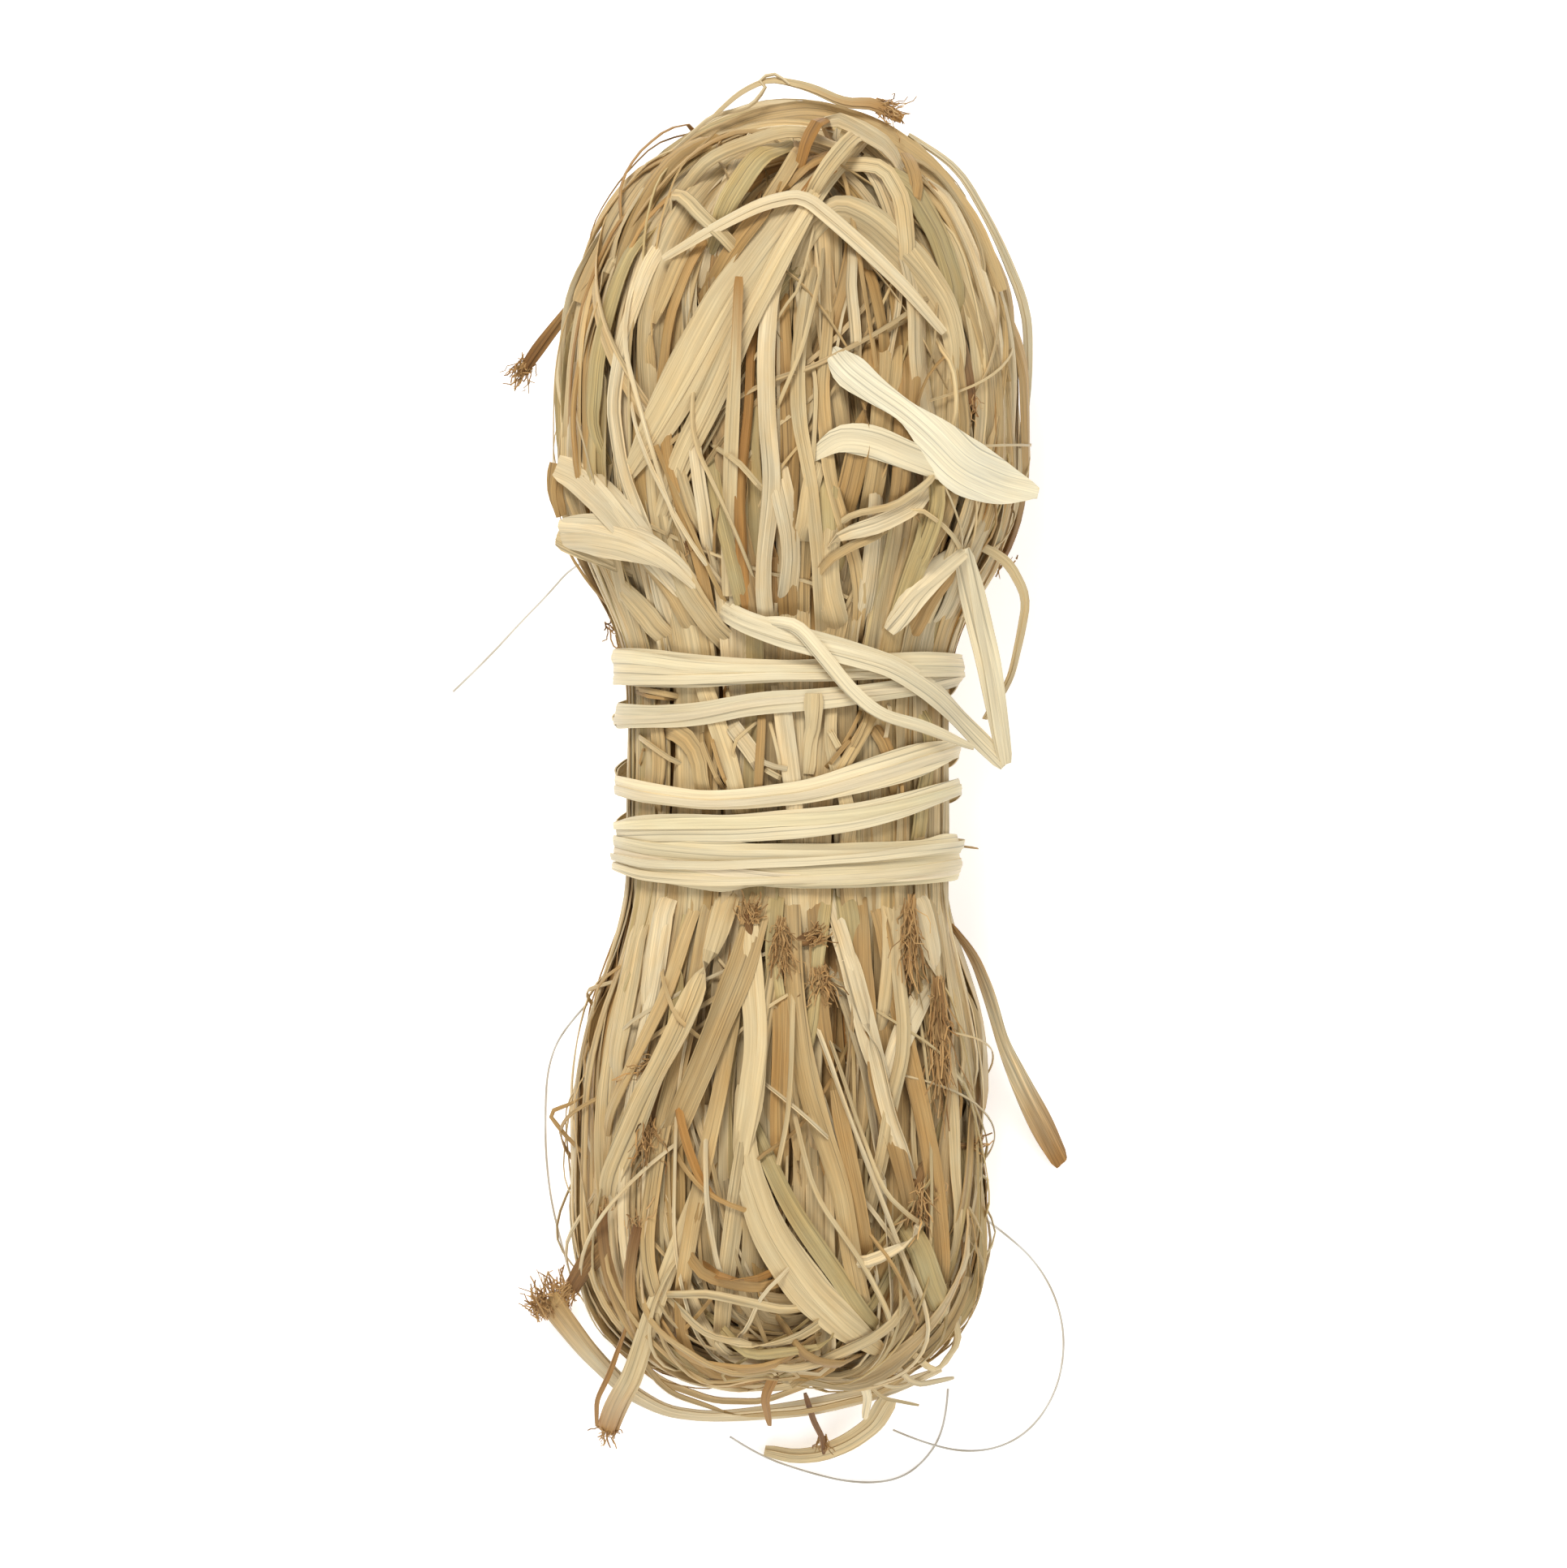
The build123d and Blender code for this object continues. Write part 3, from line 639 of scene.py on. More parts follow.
def shell_place(turn, ratio):
    """Share of the width and of the height at a place of the cross-section, ratio 1 being the outside."""
    across = ratio * abs(math.cos(turn)) ** (2 / ENVELOPE_POWER)
    height = math.copysign(ratio * abs(math.sin(turn)) ** (2 / ENVELOPE_POWER), math.sin(turn))
    narrow = part_left(min(abs(height), NEARLY_FULL))
    return min(1.0, across / max(narrow, 1e-3)), height


WAIST_FREEDOM = 0.22
HELD_MIDDLE = 3         # middle of the binding, and how far from it strips start to part and are free
HELD_END = 18
FREE_START = 48
DRIFT_JITTER = 0.35


def waist_squeeze(y):
    """How much freedom a strip has: little under the binding, all of it at the bulges."""
    return ease(WAIST_FREEDOM, 1.0, HELD_END, FREE_START, np.abs(y - HELD_MIDDLE))


def wound_route(rng, turn, ratio, start, end, wander):
    """Points of a strip that follows a loop and drifts from one depth and side to another."""
    count = max(2, int((end - start) * 9))
    at = np.arange(int(start * LINE_POINTS), int(end * LINE_POINTS))
    knots = np.linspace(at[0], at[-1], count)
    knots[1:-1] += rng.uniform(-DRIFT_JITTER, DRIFT_JITTER, count - 2) * (knots[1] - knots[0])
    places = [shell_place(turn + rng.normal(0, wander), ratio * (1 - abs(rng.normal(0, 0.02))))
              for _ in range(count)]
    lines = np.array([loop_line(*place)[at % LINE_POINTS] for place in places])
    heights = np.array([place[1] for place in places])
    weights = np.stack([np.interp(at, knots, np.eye(count)[i]) for i in range(count)])
    plan = np.einsum("ks,ksi->si", weights, lines)
    height = weights.T @ heights
    y = plan[:, 1]
    z = mid_height(y) + height * half_thickness(y)
    return resample(np.column_stack([plan, z]), ROUTE_SPACING)


TUCK_DEPTH = 4.0
TUCK_LENGTH = 15.0


def tuck(distance, first=True, last=True, length=TUCK_LENGTH):
    """How far the two ends of a strip dive in among the others."""
    start = ease(TUCK_DEPTH, 0, 0, length, distance) * first
    end = ease(TUCK_DEPTH, 0, 0, length, distance[-1] - distance) * last
    return start + end


LOWEST = 0.8            # a strip keeps off the floor by this, and by a little more at random
RISE_SPACING, DRIFT_SPACING = 42, 38


def lay(rng, points, lift, drift, rise=0.5, tucked=(True, True)):
    """Moves a route off the envelope by lift and lets it wander across and up and down."""
    distance = lengths_along(points)
    normals = skin_normals(points)
    side = unit(np.cross(unit(np.gradient(points, axis=0)), normals))
    free = waist_squeeze(points[:, 1])
    lifted = (lift + np.abs(kinks(rng, distance, RISE_SPACING, rise, blur=4))) * free
    points = points + side * (kinks(rng, distance, DRIFT_SPACING, drift, blur=3) * free)[:, None]
    points = points + normals * (lifted - tuck(distance, *tucked))[:, None]
    points[:, 2] = np.maximum(points[:, 2], LOWEST + 0.5 * rng.random())
    return points, normals


# Painted shade: strips deeper inside the hank are tinted darker and browner, for the warm shade among the
# packed strips.
# At each of these parts of the envelope, 1 being its outside, this much is left of red, of green and of blue.
INNER_DEPTHS = (0.5, 0.8, 0.91, 1.0)
INNER_PAINTED_SHADE = ((0.32, 0.48, 0.76, 1.0), (0.16, 0.29, 0.61, 1.0), (0.05, 0.12, 0.42, 1.0))
SIDE_SHADE_RELIEF = 0.6       # part of that painted shade which the strips at the two sides are spared
SKIN_WANDER, INNER_WANDER = 0.05, 0.1
ROOT_SHARE = 0.2


def wound_strip(bank, rng, turn, ratio, lift, start, end, thread=False):
    route = wound_route(rng, turn, ratio, start, end, SKIN_WANDER if ratio > 0.95 else INNER_WANDER)
    points, normals = lay(rng, route, lift, 1.4, rise=0.9)
    # painted shade: the tint darkens with depth in the hank, less at its two sides
    shade = np.array([np.interp(ratio, INNER_DEPTHS, tone) for tone in INNER_PAINTED_SHADE])
    spared_shade = SIDE_SHADE_RELIEF * ease(1, 0, 0.35, 0.7, abs(math.sin(turn)))
    tint = pick_tint(rng) * (shade * (1 - spared_shade) + spared_shade)
    root = ORANGE if rng.random() < ROOT_SHARE else None
    if thread:
        add_ribbon(bank, rng, points, normals, rng.uniform(0.35, 0.8), tint, samples=2, thickness=0.25)
        return
    add_ribbon(bank, rng, points, normals, pick_width(rng), tint, curl=rng.uniform(0.0, 0.9),
               crease=rng.uniform(0.2, 0.55), roll=rng.normal(0, 0.25), roll_size=0.35,
               end_tints=(root, None), flips=int(rng.random() < 0.3), free=waist_squeeze(points[:, 1]))


def node_of(turn, ratio):
    share, height = shell_place(turn, ratio)
    layer = LAYER_NAMES[int(np.searchsorted(LAYER_LIMITS, height))]
    column = COLUMN_NAMES[int(np.searchsorted(COLUMN_LIMITS, share))]
    return f"{layer}_{column}"


# Depth of each shell as a part of the envelope, strips in it, and how far they are lifted.
SHELLS = ((1.0, 134, 0.7), (0.91, 120, 0.0), (0.8, 80, 0.0), (0.5, 36, 0.0))
THREADS = 90


def make_bundles():
    rng = np.random.default_rng(20)
    banks = {f"{layer}_{column}": Bank() for layer in LAYER_NAMES for column in COLUMN_NAMES}
    for ratio, count, lift in SHELLS:
        for index in range(count):
            turn = math.pi * ((index + rng.uniform(0.1, 0.9)) / count * 2 - 0.5)
            start = rng.uniform(0, 1)
            wound_strip(banks[node_of(turn, ratio)], rng, turn, ratio, lift * rng.uniform(-1, 2.2),
                        start, start + rng.uniform(0.35, 0.85))
    for _ in range(THREADS):
        turn = rng.uniform(-math.pi / 2, 3 * math.pi / 2)
        start = rng.uniform(0, 1)
        wound_strip(banks[node_of(turn, 1.0)], rng, turn, 1.0, rng.uniform(0.8, 2.2),
                    start, start + rng.uniform(0.1, 0.35), thread=True)
    for name, bank in banks.items():
        nodes = [name] if "core" in name else [f"{name}_crown", f"{name}_foot"]
        make_piece(bank, f"{name}_strips", "raffia", *nodes)


# ---- strips that pass over the ends, and strips that cross the others ----
OVER_RADIUS = 17.0
OVER_REACH = 0.95
OVER_GATHER = 0.35      # part by which they draw together towards the end
LEG_STEPS = 40
BEND_STEPS = 24


def over_route(side, ratio, sign):
    """A route up the face, over the crown or the foot, and down the back."""
    end = CROWN if sign > 0 else FOOT
    high = ratio * part_left(abs(side))
    round_off = (1 - abs(side) ** end["power"]) ** (1 / end["power"])
    apex = ARC_CENTRE + end["reach"] * (OVER_REACH * round_off - (1 - ratio))
    centre = apex - OVER_RADIUS
    leg = np.linspace(8, centre, LEG_STEPS)
    angle = np.linspace(math.pi / 2, -math.pi / 2, BEND_STEPS)
    y = sign * np.concatenate([leg, centre + OVER_RADIUS * np.cos(angle), leg[::-1]])
    turn = np.concatenate([np.ones(LEG_STEPS), np.sin(angle), -np.ones(LEG_STEPS)])
    gather = 1 - OVER_GATHER * ease(0, 1, 50, apex, np.abs(y))
    x = along("lean", y) + side * gather * along("half_width", y)
    z = mid_height(y) + high * turn * half_thickness(y)
    return np.column_stack([x, y, z])


def over_strip(bank, rng, sign):
    route = over_route(rng.uniform(-0.72, 0.72), rng.uniform(0.9, 1.0), sign)
    first = rng.integers(0, 34)
    last = len(route) - rng.integers(4, 40)
    route = resample(route[first:last], ROUTE_SPACING)
    points, normals = lay(rng, route, rng.uniform(0, 1.2), 3.2)
    add_ribbon(bank, rng, points, normals, pick_width(rng), pick_tint(rng), curl=rng.uniform(0.0, 0.9),
               crease=rng.uniform(0.2, 0.55), roll=rng.normal(0, 0.3), roll_size=0.35,
               flips=int(rng.random() < 0.4), free=waist_squeeze(points[:, 1]))


GIRTH_RADIUS = 34       # of the hank: millimetres round it for each radian of turn
PLAN_ENDS = (-109, 119)
SHORTEST = 10
ROOTED_SHARE = 0.14


def cross_strip(bank, rng, turn, y, heading, length, lift, width, tint, thread=False):
    """A strip on the envelope that runs at an angle to the wound ones."""
    count = max(3, int(length / 24) + 1)
    run = np.linspace(0, length, count)
    bend = heading + np.cumsum(rng.normal(0, 0.09, count))
    along_y = y + np.concatenate([[0], np.cumsum(np.diff(run) * np.cos(bend[1:]))])
    slide = np.concatenate([[0], np.cumsum(np.diff(run) * np.sin(bend[1:]))])
    control = np.column_stack([turn - slide / GIRTH_RADIUS, np.clip(along_y, *PLAN_ENDS)])
    control = rounded(control, passes=1, cut=0.15)
    share = np.linspace(0, 1, max(6, int(length / 2.5)))
    knots = np.linspace(0, 1, len(control))
    route = skin(np.interp(share, knots, control[:, 0]), np.interp(share, knots, control[:, 1]))
    if lengths_along(route)[-1] < SHORTEST:
        return
    rooted = not thread and rng.random() < ROOTED_SHARE
    points, normals = lay(rng, resample(route, 2.5), lift, 0.8, rise=0.9, tucked=(not rooted, True))
    if thread:
        add_ribbon(bank, rng, points, normals, width, tint, samples=2, thickness=0.22)
        return
    add_ribbon(bank, rng, points, normals, width, tint, curl=rng.uniform(-0.2, 1.0),
               crease=rng.uniform(0.25, 0.6), roll=rng.normal(0, 0.3), roll_size=0.4,
               end_tints=(BROWN if rooted else None, None), flips=int(rng.random() < 0.35),
               free=waist_squeeze(points[:, 1]))
    if rooted:
        add_fray(bank, rng, points[0], points[0] - points[2], rng.uniform(3, 6), width, 16)


FACE_SPREAD, SIDE_SPREAD = 1.1, 0.75


def pick_turn(rng, region):
    if region == "sides":
        return rng.choice((0, math.pi)) + rng.uniform(-SIDE_SPREAD, SIDE_SPREAD)
    middle = math.pi / 2 if region == "face" else -math.pi / 2
    return middle + rng.uniform(-FACE_SPREAD, FACE_SPREAD)


# Part of the surface, crossing strips on each half of it, and fine threads.
CROSSING = (("face", 20, 40), ("sides", 30, 26), ("back", 36, 20))
OVER_COUNT = 30


def make_crossing_strips():
    rng = np.random.default_rng(31)
    for sign, half in ((1, "crown"), (-1, "foot")):
        over = Bank()
        for _ in range(OVER_COUNT):
            over_strip(over, rng, sign)
        make_piece(over, f"{half}_over_strips", "raffia")
        away = 0 if sign > 0 else math.pi
        for region, count, threads in CROSSING:
            bank = Bank()
            for _ in range(count):
                y = sign * rng.uniform(16, 84)
                cross_strip(bank, rng, pick_turn(rng, region), y, away + rng.uniform(-0.3, 0.3),
                            rng.uniform(40, 110), rng.uniform(0.2, 1.6), pick_width(rng) * 0.9,
                            pick_tint(rng))
            for _ in range(threads):
                y = sign * rng.uniform(18, 100)
                cross_strip(bank, rng, pick_turn(rng, region), y, away + rng.normal(0, 0.6),
                            rng.uniform(18, 80), rng.uniform(1.2, 3.4), rng.uniform(0.3, 0.9),
                            pick_tint(rng), thread=True)
            make_piece(bank, f"{half}_{region}_crossing_strips", "raffia")


# ---- long strips over the face, laid as they lie on the real hank ----
# Each: width, tint, height over the face beyond COURSE_LIFT, and the points that it passes in the plan.
CROWN_COURSES = (
    (3.8, CREAM, 1.0, ((-25.6, 107), (-32.3, 93.7), (-36.6, 80.9), (-38.4, 68.6), (-36.6, 59.5), (-31, 42),
                       (-27, 20))),
    (3.2, GREENISH, 1.3, ((-21.9, 108), (-29.2, 93.1), (-33.5, 77.8), (-34.7, 65.6), (-33, 52))),
    (3.4, PALE, 1.4, ((-18.2, 106.6), (-24.9, 93.1), (-29.2, 80.9), (-31.1, 68.6), (-29.2, 56.4),
                      (-24, 42), (-20, 20))),
    (2.8, STRAW, 1.8, ((-14.5, 103.5), (-19.4, 93.7), (-24.3, 82.7), (-25.6, 70))),
    (2.4, TAN, 1.6, ((-12, 106), (-17.5, 94), (-21, 84), (-22.4, 70), (-21, 58), (-15, 40), (-12, 20))),
    (3.2, CREAM, 3.4, ((-23, 104), (-20.6, 108), (-17, 106), (-11.5, 99.9), (-6, 94))),
    (4.2, GREENISH, 3.4, ((-14, 97), (-9.6, 106), (-5.4, 112.7), (1.6, 118.6))),
    (2.8, STRAW, 3.0, ((2.6, 118.5), (3.2, 115.2), (-0.5, 108.4), (-5, 101))),
    (3.2, CREAM, 4.8, ((16.5, 120.5), (9.3, 112.7), (3, 104))),
    (4.4, TAN, 2.4, ((12, 119), (3.2, 112.1), (-6.6, 98.6), (-15.2, 86))),
    (3.0, ORANGE, 2.8, ((11, 114), (5, 108), (0, 101))),
    (5.6, GREENISH, 2.6, ((15, 116), (23.4, 109), (28.9, 99.9), (31.7, 91.3), (33.2, 79))),
    (3.2, CREAM, 3.2, ((8, 114), (18.5, 111.5), (21.6, 106), (22.2, 98.6), (22.8, 88))),
    (2.4, ORANGE, 4.6, ((9, 123), (6.6, 120), (4.4, 116), (2, 111))),
    (2.6, TAN, 3.2, ((20, 119), (22.4, 114.6), (24, 109), (23, 102))),
    (4.8, PALE, 3.0, ((3, 120.4), (9.4, 121), (17, 118), (24, 112))),
    (2.6, CREAM, 3.0, ((-22, 107), (-12, 114), (0, 118.4), (12, 118))),
    (4.0, TAN, 0.2, ((-0.6, 98), (0.2, 82), (1, 62), (0.4, 42), (1, 20))),
    (3.6, STRAW, 0.0, ((3.6, 96), (3.4, 76), (4, 52), (3, 20))),
    (4.6, TAN, 2.4, ((17, 83), (14.6, 68), (11.4, 54), (9.6, 45))),
    (4.8, STRAW, 2.1, ((20, 84), (18.4, 68), (16.4, 54), (15, 44))),
    (4.8, TAN, 2.4, ((23.4, 82), (22.6, 68), (21.4, 54), (20, 43))),
    (4.4, PALE, 1.4, ((20, 117), (29, 108), (34.6, 96), (38.6, 82), (39.6, 68), (38.1, 52), (31, 34),
                      (27, 20))),
    (3.6, CREAM, 1.2, ((22, 110), (31, 98), (35, 84), (36.3, 68), (34, 52), (27, 34), (24, 20))),
    (3.0, STRAW, 1.0, ((18, 106), (27, 95), (31, 80), (33, 64), (30, 48), (22, 34), (17, 20))),
    (3.6, PALE, 2.6, ((2, 101), (-1.7, 88.8), (-2.9, 77.8), (-2.9, 65.6), (-2, 53.3), (-3.5, 38), (-2, 20))),
    (3.0, CREAM, 1.8, ((7, 101), (4.4, 90.1), (2.9, 77.8), (2.6, 65.6), (5, 50.3), (7, 38), (7, 20))),
    (2.2, PALE, 2.4, ((12, 101), (13.3, 86.4), (13.9, 74))),
    (2.6, TAN, 1.4, ((15, 97), (17.9, 83.9), (19.1, 74))),
    (2.2, ORANGE, 1.2, ((-4, 92), (-6, 80), (-6.4, 68), (-8, 52), (-7, 36), (-5, 20))),
    (2.6, STRAW, 1.6, ((9, 94), (8, 82), (6.6, 70), (8, 56), (14, 38), (14, 20))),
    (2.4, PALE, 2.6, ((-14.6, 70), (-15.8, 62.5), (-15.2, 53.3), (-13.4, 36))),
    (2.8, CREAM, 1.8, ((-20, 64), (-17.6, 53.3), (-14, 41))),
    (1.2, CREAM, 3.2, ((-14, 61), (-7.8, 57.6), (-2, 50))),
    (3.0, PALE, 3.0, ((5, 37), (9, 44), (17, 46.4), (24, 50), (29.6, 55))),
    (1.6, CREAM, 3.6, ((7, 43), (12, 48.6), (20, 50), (27, 55), (31, 60))),
    (1.8, STRAW, 3.2, ((4, 33), (8, 40), (13, 43), (21, 46))),
    (4.2, CREAM, 2.0, ((7, 62), (4.4, 53.3), (3.2, 40))),
    (4.6, GREENISH, 1.6, ((8, 60), (8.1, 47.2), (10, 34))),
    (3.2, GREENISH, 2.4, ((28.4, 58), (27.1, 47.2), (22, 35))),
    (4.6, CREAM, 1.8, ((9, 54), (7, 37), (11, 23))),
    (4.2, PALE, 2.0, ((-3, 63), (1.5, 43), (0, 27))),
    (3.2, GREENISH, 1.8, ((-13.5, 63), (-9.8, 46), (-6, 24))),
    (5.0, CREAM, 2.4, ((-23, 45), (-15.8, 31), (-8, 23))),
    (4.2, GREENISH, 1.6, ((29, 52), (22, 34), (18.5, 23))),
    (4.0, TAN, 2.0, ((34, 43), (26, 32), (23, 23))),
    (4.4, CREAM, 1.8, ((-34, 40), (-25, 30), (-20, 23))),
    (3.0, STRAW, 2.2, ((-30, 47), (-20, 34), (-15, 23))),
    (3.6, PALE, 1.4, ((18, 60), (16, 42), (13, 23))),
)
FOOT_COURSES = (
    (4.6, PALE, 1.2, ((-27, -15), (-31.9, -32.3), (-35.6, -46.8), (-36.6, -60.6), (-35, -78))),
    (4.8, CREAM, 1.4, ((-24.6, -15), (-27.6, -32.3), (-30, -46), (-33, -62))),
    (4.2, PALE, 1.6, ((-21, -15), (-23.2, -30.1), (-25, -46))),
    (3.0, GREENISH, 1.4, ((-17, -15), (-19, -30), (-20, -46), (-24, -60))),
    (2.8, STRAW, 2.6, ((-15, -15), (-18.1, -28.6), (-21, -38.1), (-26.1, -49), (-31.2, -59.2),
                       (-36.6, -71.5))),
    (5.6, CREAM, 2.2, ((-9, -13), (-12, -28), (-17.4, -43.2), (-25.4, -57.7), (-31.4, -72.3), (-35, -84))),
    (4.8, STRAW, 2.8, ((-2, -13), (-7, -30), (-13.8, -48.3), (-19.6, -62), (-24, -70))),
    (1.9, ORANGE, 3.4, ((-21, -53), (-17.4, -65), (-14.5, -72.3), (-6, -79))),
    (3.6, GREENISH, 1.8, ((-6, -60), (0.8, -75.9), (9.5, -90.4), (21, -106))),
    (3.2, GREENISH, 1.2, ((-1, -15), (-2.1, -32.3), (1, -46))),
    (3.8, TAN, 0.5, ((-1, -26), (-0.4, -44), (-0.8, -60), (0, -78))),
    (3.4, STRAW, 0.2, ((2.6, -34), (2, -50), (3, -66), (1, -84))),
    (3.2, PALE, 2.6, ((7, -15), (11.7, -30.1), (16, -45.4), (19.7, -62), (25, -76))),
    (3.8, GREENISH, 1.2, ((11.5, -15), (12.4, -30.1), (15, -48))),
    (3.6, CREAM, 1.2, ((19.5, -15), (19, -32.3), (17, -50))),
    (5.0, PALE, 2.0, ((24, -15), (27, -27.2), (29.5, -42))),
    (3.2, CREAM, 1.2, ((29, -15), (31.3, -32.3), (33.5, -46.8), (34.4, -64))),
    (3.4, PALE, 1.2, ((32, -40), (34.4, -59.2), (34.4, -75.9), (32, -96))),
    (5.2, GREENISH, 1.8, ((22, -76), (27, -90.4), (30.6, -98), (31, -106))),
    (4.2, STRAW, 1.8, ((1, -13), (1.6, -34), (4, -54), (9.5, -72.3), (12.4, -86.8), (17, -103))),
    (3.0, TAN, 1.4, ((5, -13), (7, -40), (10, -58), (14, -76), (16.6, -95))),
    (3.8, TAN, 1.8, ((14, -13), (14, -36), (17, -54), (21.1, -69.4), (25, -88))),
    (3.4, TAN, 1.4, ((17, -13), (20, -36), (23.4, -54), (26.5, -70), (28, -84), (28.8, -101))),
    (3.2, STRAW, 1.6, ((-4, -13), (-8, -34), (-11, -54), (-16, -78), (-20, -101))),
    (3.6, CREAM, 1.4, ((0, -20), (-3, -46), (-8, -72), (-11, -90), (-12, -109))),
    (3.0, PALE, 1.6, ((-19, -13), (-24, -36), (-28, -58), (-30, -80), (-26, -101))),
    (3.4, STRAW, 1.2, ((-12, -13), (-17, -40), (-23, -62), (-26, -84), (-21, -104))),
    (3.0, CREAM, 1.2, ((27, -13), (29, -40), (31.4, -62), (32.6, -80), (29, -98))),
    (2.6, GREENISH, 1.6, ((9, -13), (6, -30), (5, -46), (0, -60))),
    (2.8, CREAM, 2.0, ((22, -13), (20, -30), (22, -48), (19, -62), (16, -80))),
    (1.7, CREAM, 3.8, ((-25, -95), (-15.2, -92.3), (-5, -94.8), (8, -97))),
    (2.8, CREAM, 3.0, ((-24, -94), (-13, -100.3), (-2.1, -101.4), (13, -95))),
    (2.4, TAN, 2.4, ((-27, -96), (-16.7, -105), (-5, -106.4), (9, -101))),
    (2.6, TAN, 3.0, ((-20, -84), (-14, -89), (-7, -91.2), (3, -91.5))),
    (2.0, ORANGE, 3.4, ((-16, -86.5), (-9.4, -89.6), (0, -89))),
    (3.2, TAN, 3.0, ((-2, -99), (5.1, -104.3), (15, -107))),
    (2.4, PALE, 4.0, ((11, -88), (19.7, -84.6), (27, -80))),
    (2.2, CREAM, 2.6, ((28, -90), (18, -100), (4, -106), (-10, -107))),
    (2.0, STRAW, 2.2, ((-30, -88), (-24, -100), (-12, -107), (2, -109))),
    (2.4, GREENISH, 3.2, ((-14, -98), (-6, -104), (6, -103), (14, -98))),
)
# Between the binding's turns, low enough to pass under them.
WAIST_COURSES = (
    (3.4, CREAM, 1.0, ((-18, 27), (-13, 14), (-9, 2), (-7, -14))),
    (3.8, STRAW, 1.7, ((-27, 11), (-19, 9), (-16, 5), (-15, -6))),
    (2.8, PALE, 1.9, ((-12, 14), (-8, 8), (-5, 4), (-3, 0))),
    (1.7, TAN, 2.2, ((-4.7, 17), (-4.8, 6), (-4.6, -6))),
    (3.6, PALE, 1.1, ((-2, 26), (0.4, 9), (2.2, -3), (3, -18))),
    (2.6, STRAW, 1.3, ((19, 16), (13, 6), (8, -4))),
    (2.8, TAN, 1.2, ((15, 14), (19, 7), (22, -6))),
    (3.2, GREENISH, 1.1, ((24, 20), (27, 9), (25, -6), (26, -18))),
    (3.0, STRAW, 1.0, ((-25, 22), (-22, 5), (-25, -12))),
    (2.6, CREAM, 1.2, ((9, 22), (8, 8), (12, -6), (11, -18))),
    (1.0, CREAM, 2.8, ((-30, 11.6), (-27.5, 10), (-18.2, 3), (-17, 2))),
    (0.6, TAN, 2.8, ((-28.4, 2), (-25.9, 4.9), (-26.1, 6.8), (-28, 5.4))),
    (0.8, STRAW, 2.7, ((-16, 12), (-13.6, 5), (-10.4, -3))),
    (0.7, TAN, 2.7, ((-13.8, 12), (-11.6, 4), (-9, -3))),
    (1.0, PALE, 2.8, ((-6, 4.4), (-3.3, 3.5), (1.8, 3), (3, 3))),
    (0.9, CREAM, 2.8, ((-5, 3.4), (-3.3, 2.5), (0, 0.7), (1, 0))),
    (0.6, CREAM, 2.9, ((-3, 13), (-9.4, 7.2), (-8.9, 4.9), (-9.6, 1))),
    (0.7, CREAM, 2.8, ((-3.8, 13), (-2, 6), (0.4, -1))),
    (0.7, TAN, 2.9, ((15.4, 15), (12.4, 9), (9.2, 3.6))),
    (0.8, STRAW, 2.8, ((17, 15), (13.6, 9), (10.2, 3.4))),
    (1.2, CREAM, 2.6, ((7.6, 12), (9.4, 8), (11, 4))),
    (0.8, TAN, 2.8, ((7, 2), (9.6, 5), (13.4, 10))),
    (0.8, PALE, 2.7, ((19.2, 16.4), (18.6, 11), (18.8, 6))),
    (1.1, STRAW, 2.7, ((-30.8, 19), (-25, 17.6), (-19.6, 16), (-17.6, 14.4))),
    (0.7, TAN, 2.9, ((-29.8, 17.6), (-25, 16.2), (-19.4, 15.4))),
    (0.9, CREAM, 2.6, ((-11, 18), (-9.4, 15), (-9, 12))),
    (1.0, PALE, 2.4, ((18, -1), (17, -5), (18.4, -9))),
    (0.8, TAN, 2.2, ((22.6, 4), (21.4, -2), (22.8, -9))),
)
# Fine threads: the same, much narrower and mostly higher.
CROWN_THREADS = (
    (0.9, PALE, 3.6, ((-27, 100), (-30, 80), (-24, 60), (-16, 36))),
    (0.8, CREAM, 3.4, ((-3, 64), (3, 78), (7, 92), (8, 100))),
    (0.7, CREAM, 4.2, ((29, 81), (31, 72), (30.6, 60))),
    (0.8, CREAM, 1.8, ((3, 42), (5, 58), (6, 72), (4, 84))),
    (0.9, PALE, 3.2, ((-31, 76), (-24, 58), (-18, 46), (-8, 30))),
    (0.8, CREAM, 3.4, ((-16, 80), (-17, 62), (-10, 46), (-4, 30))),
    (0.7, TAN, 3.2, ((22, 60), (26, 74), (33, 80))),
    (0.9, CREAM, 3.0, ((16, 44), (24, 50), (30, 46), (36, 38))),
)
FOOT_THREADS = (
    (0.8, PALE, 3.4, ((-4, -53), (3.7, -60.6), (10.5, -67))),
    (0.9, CREAM, 3.2, ((2.8, -32), (2.2, -57.7), (-2.4, -74))),
    (1.0, CREAM, 3.6, ((-0.2, -52), (5.1, -73.7), (14.6, -86.8), (19.7, -96.3), (22, -107))),
    (0.9, PALE, 3.4, ((-14.5, -58), (-13.8, -75.9), (-11.6, -86.8), (-8.4, -96))),
    (0.8, TAN, 3.2, ((-22, -65), (-13.8, -74.4), (-3, -79))),
    (0.8, CREAM, 3.4, ((6, -40), (12, -58), (18, -74), (25, -80), (33, -82))),
    (0.9, PALE, 3.0, ((4, -36), (10, -56), (20, -80), (27, -100))),
    (0.7, STRAW, 3.2, ((-24, -30), (-20, -42), (-12, -48))),
    (0.8, PALE, 3.8, ((-9, -104), (-3, -92), (4, -84))),
    (0.8, TAN, 3.6, ((14, -78), (22, -92), (26, -104))),
)


COURSE_LIFT = 1.8
HELD_DOWN = 0.45        # what is left of a strip's lift at the waist
EDGE_START = 0.9        # from this part of the half width on, strips go down the sides
EDGE_FALL = 20
THREAD_WIDTH = 1.1


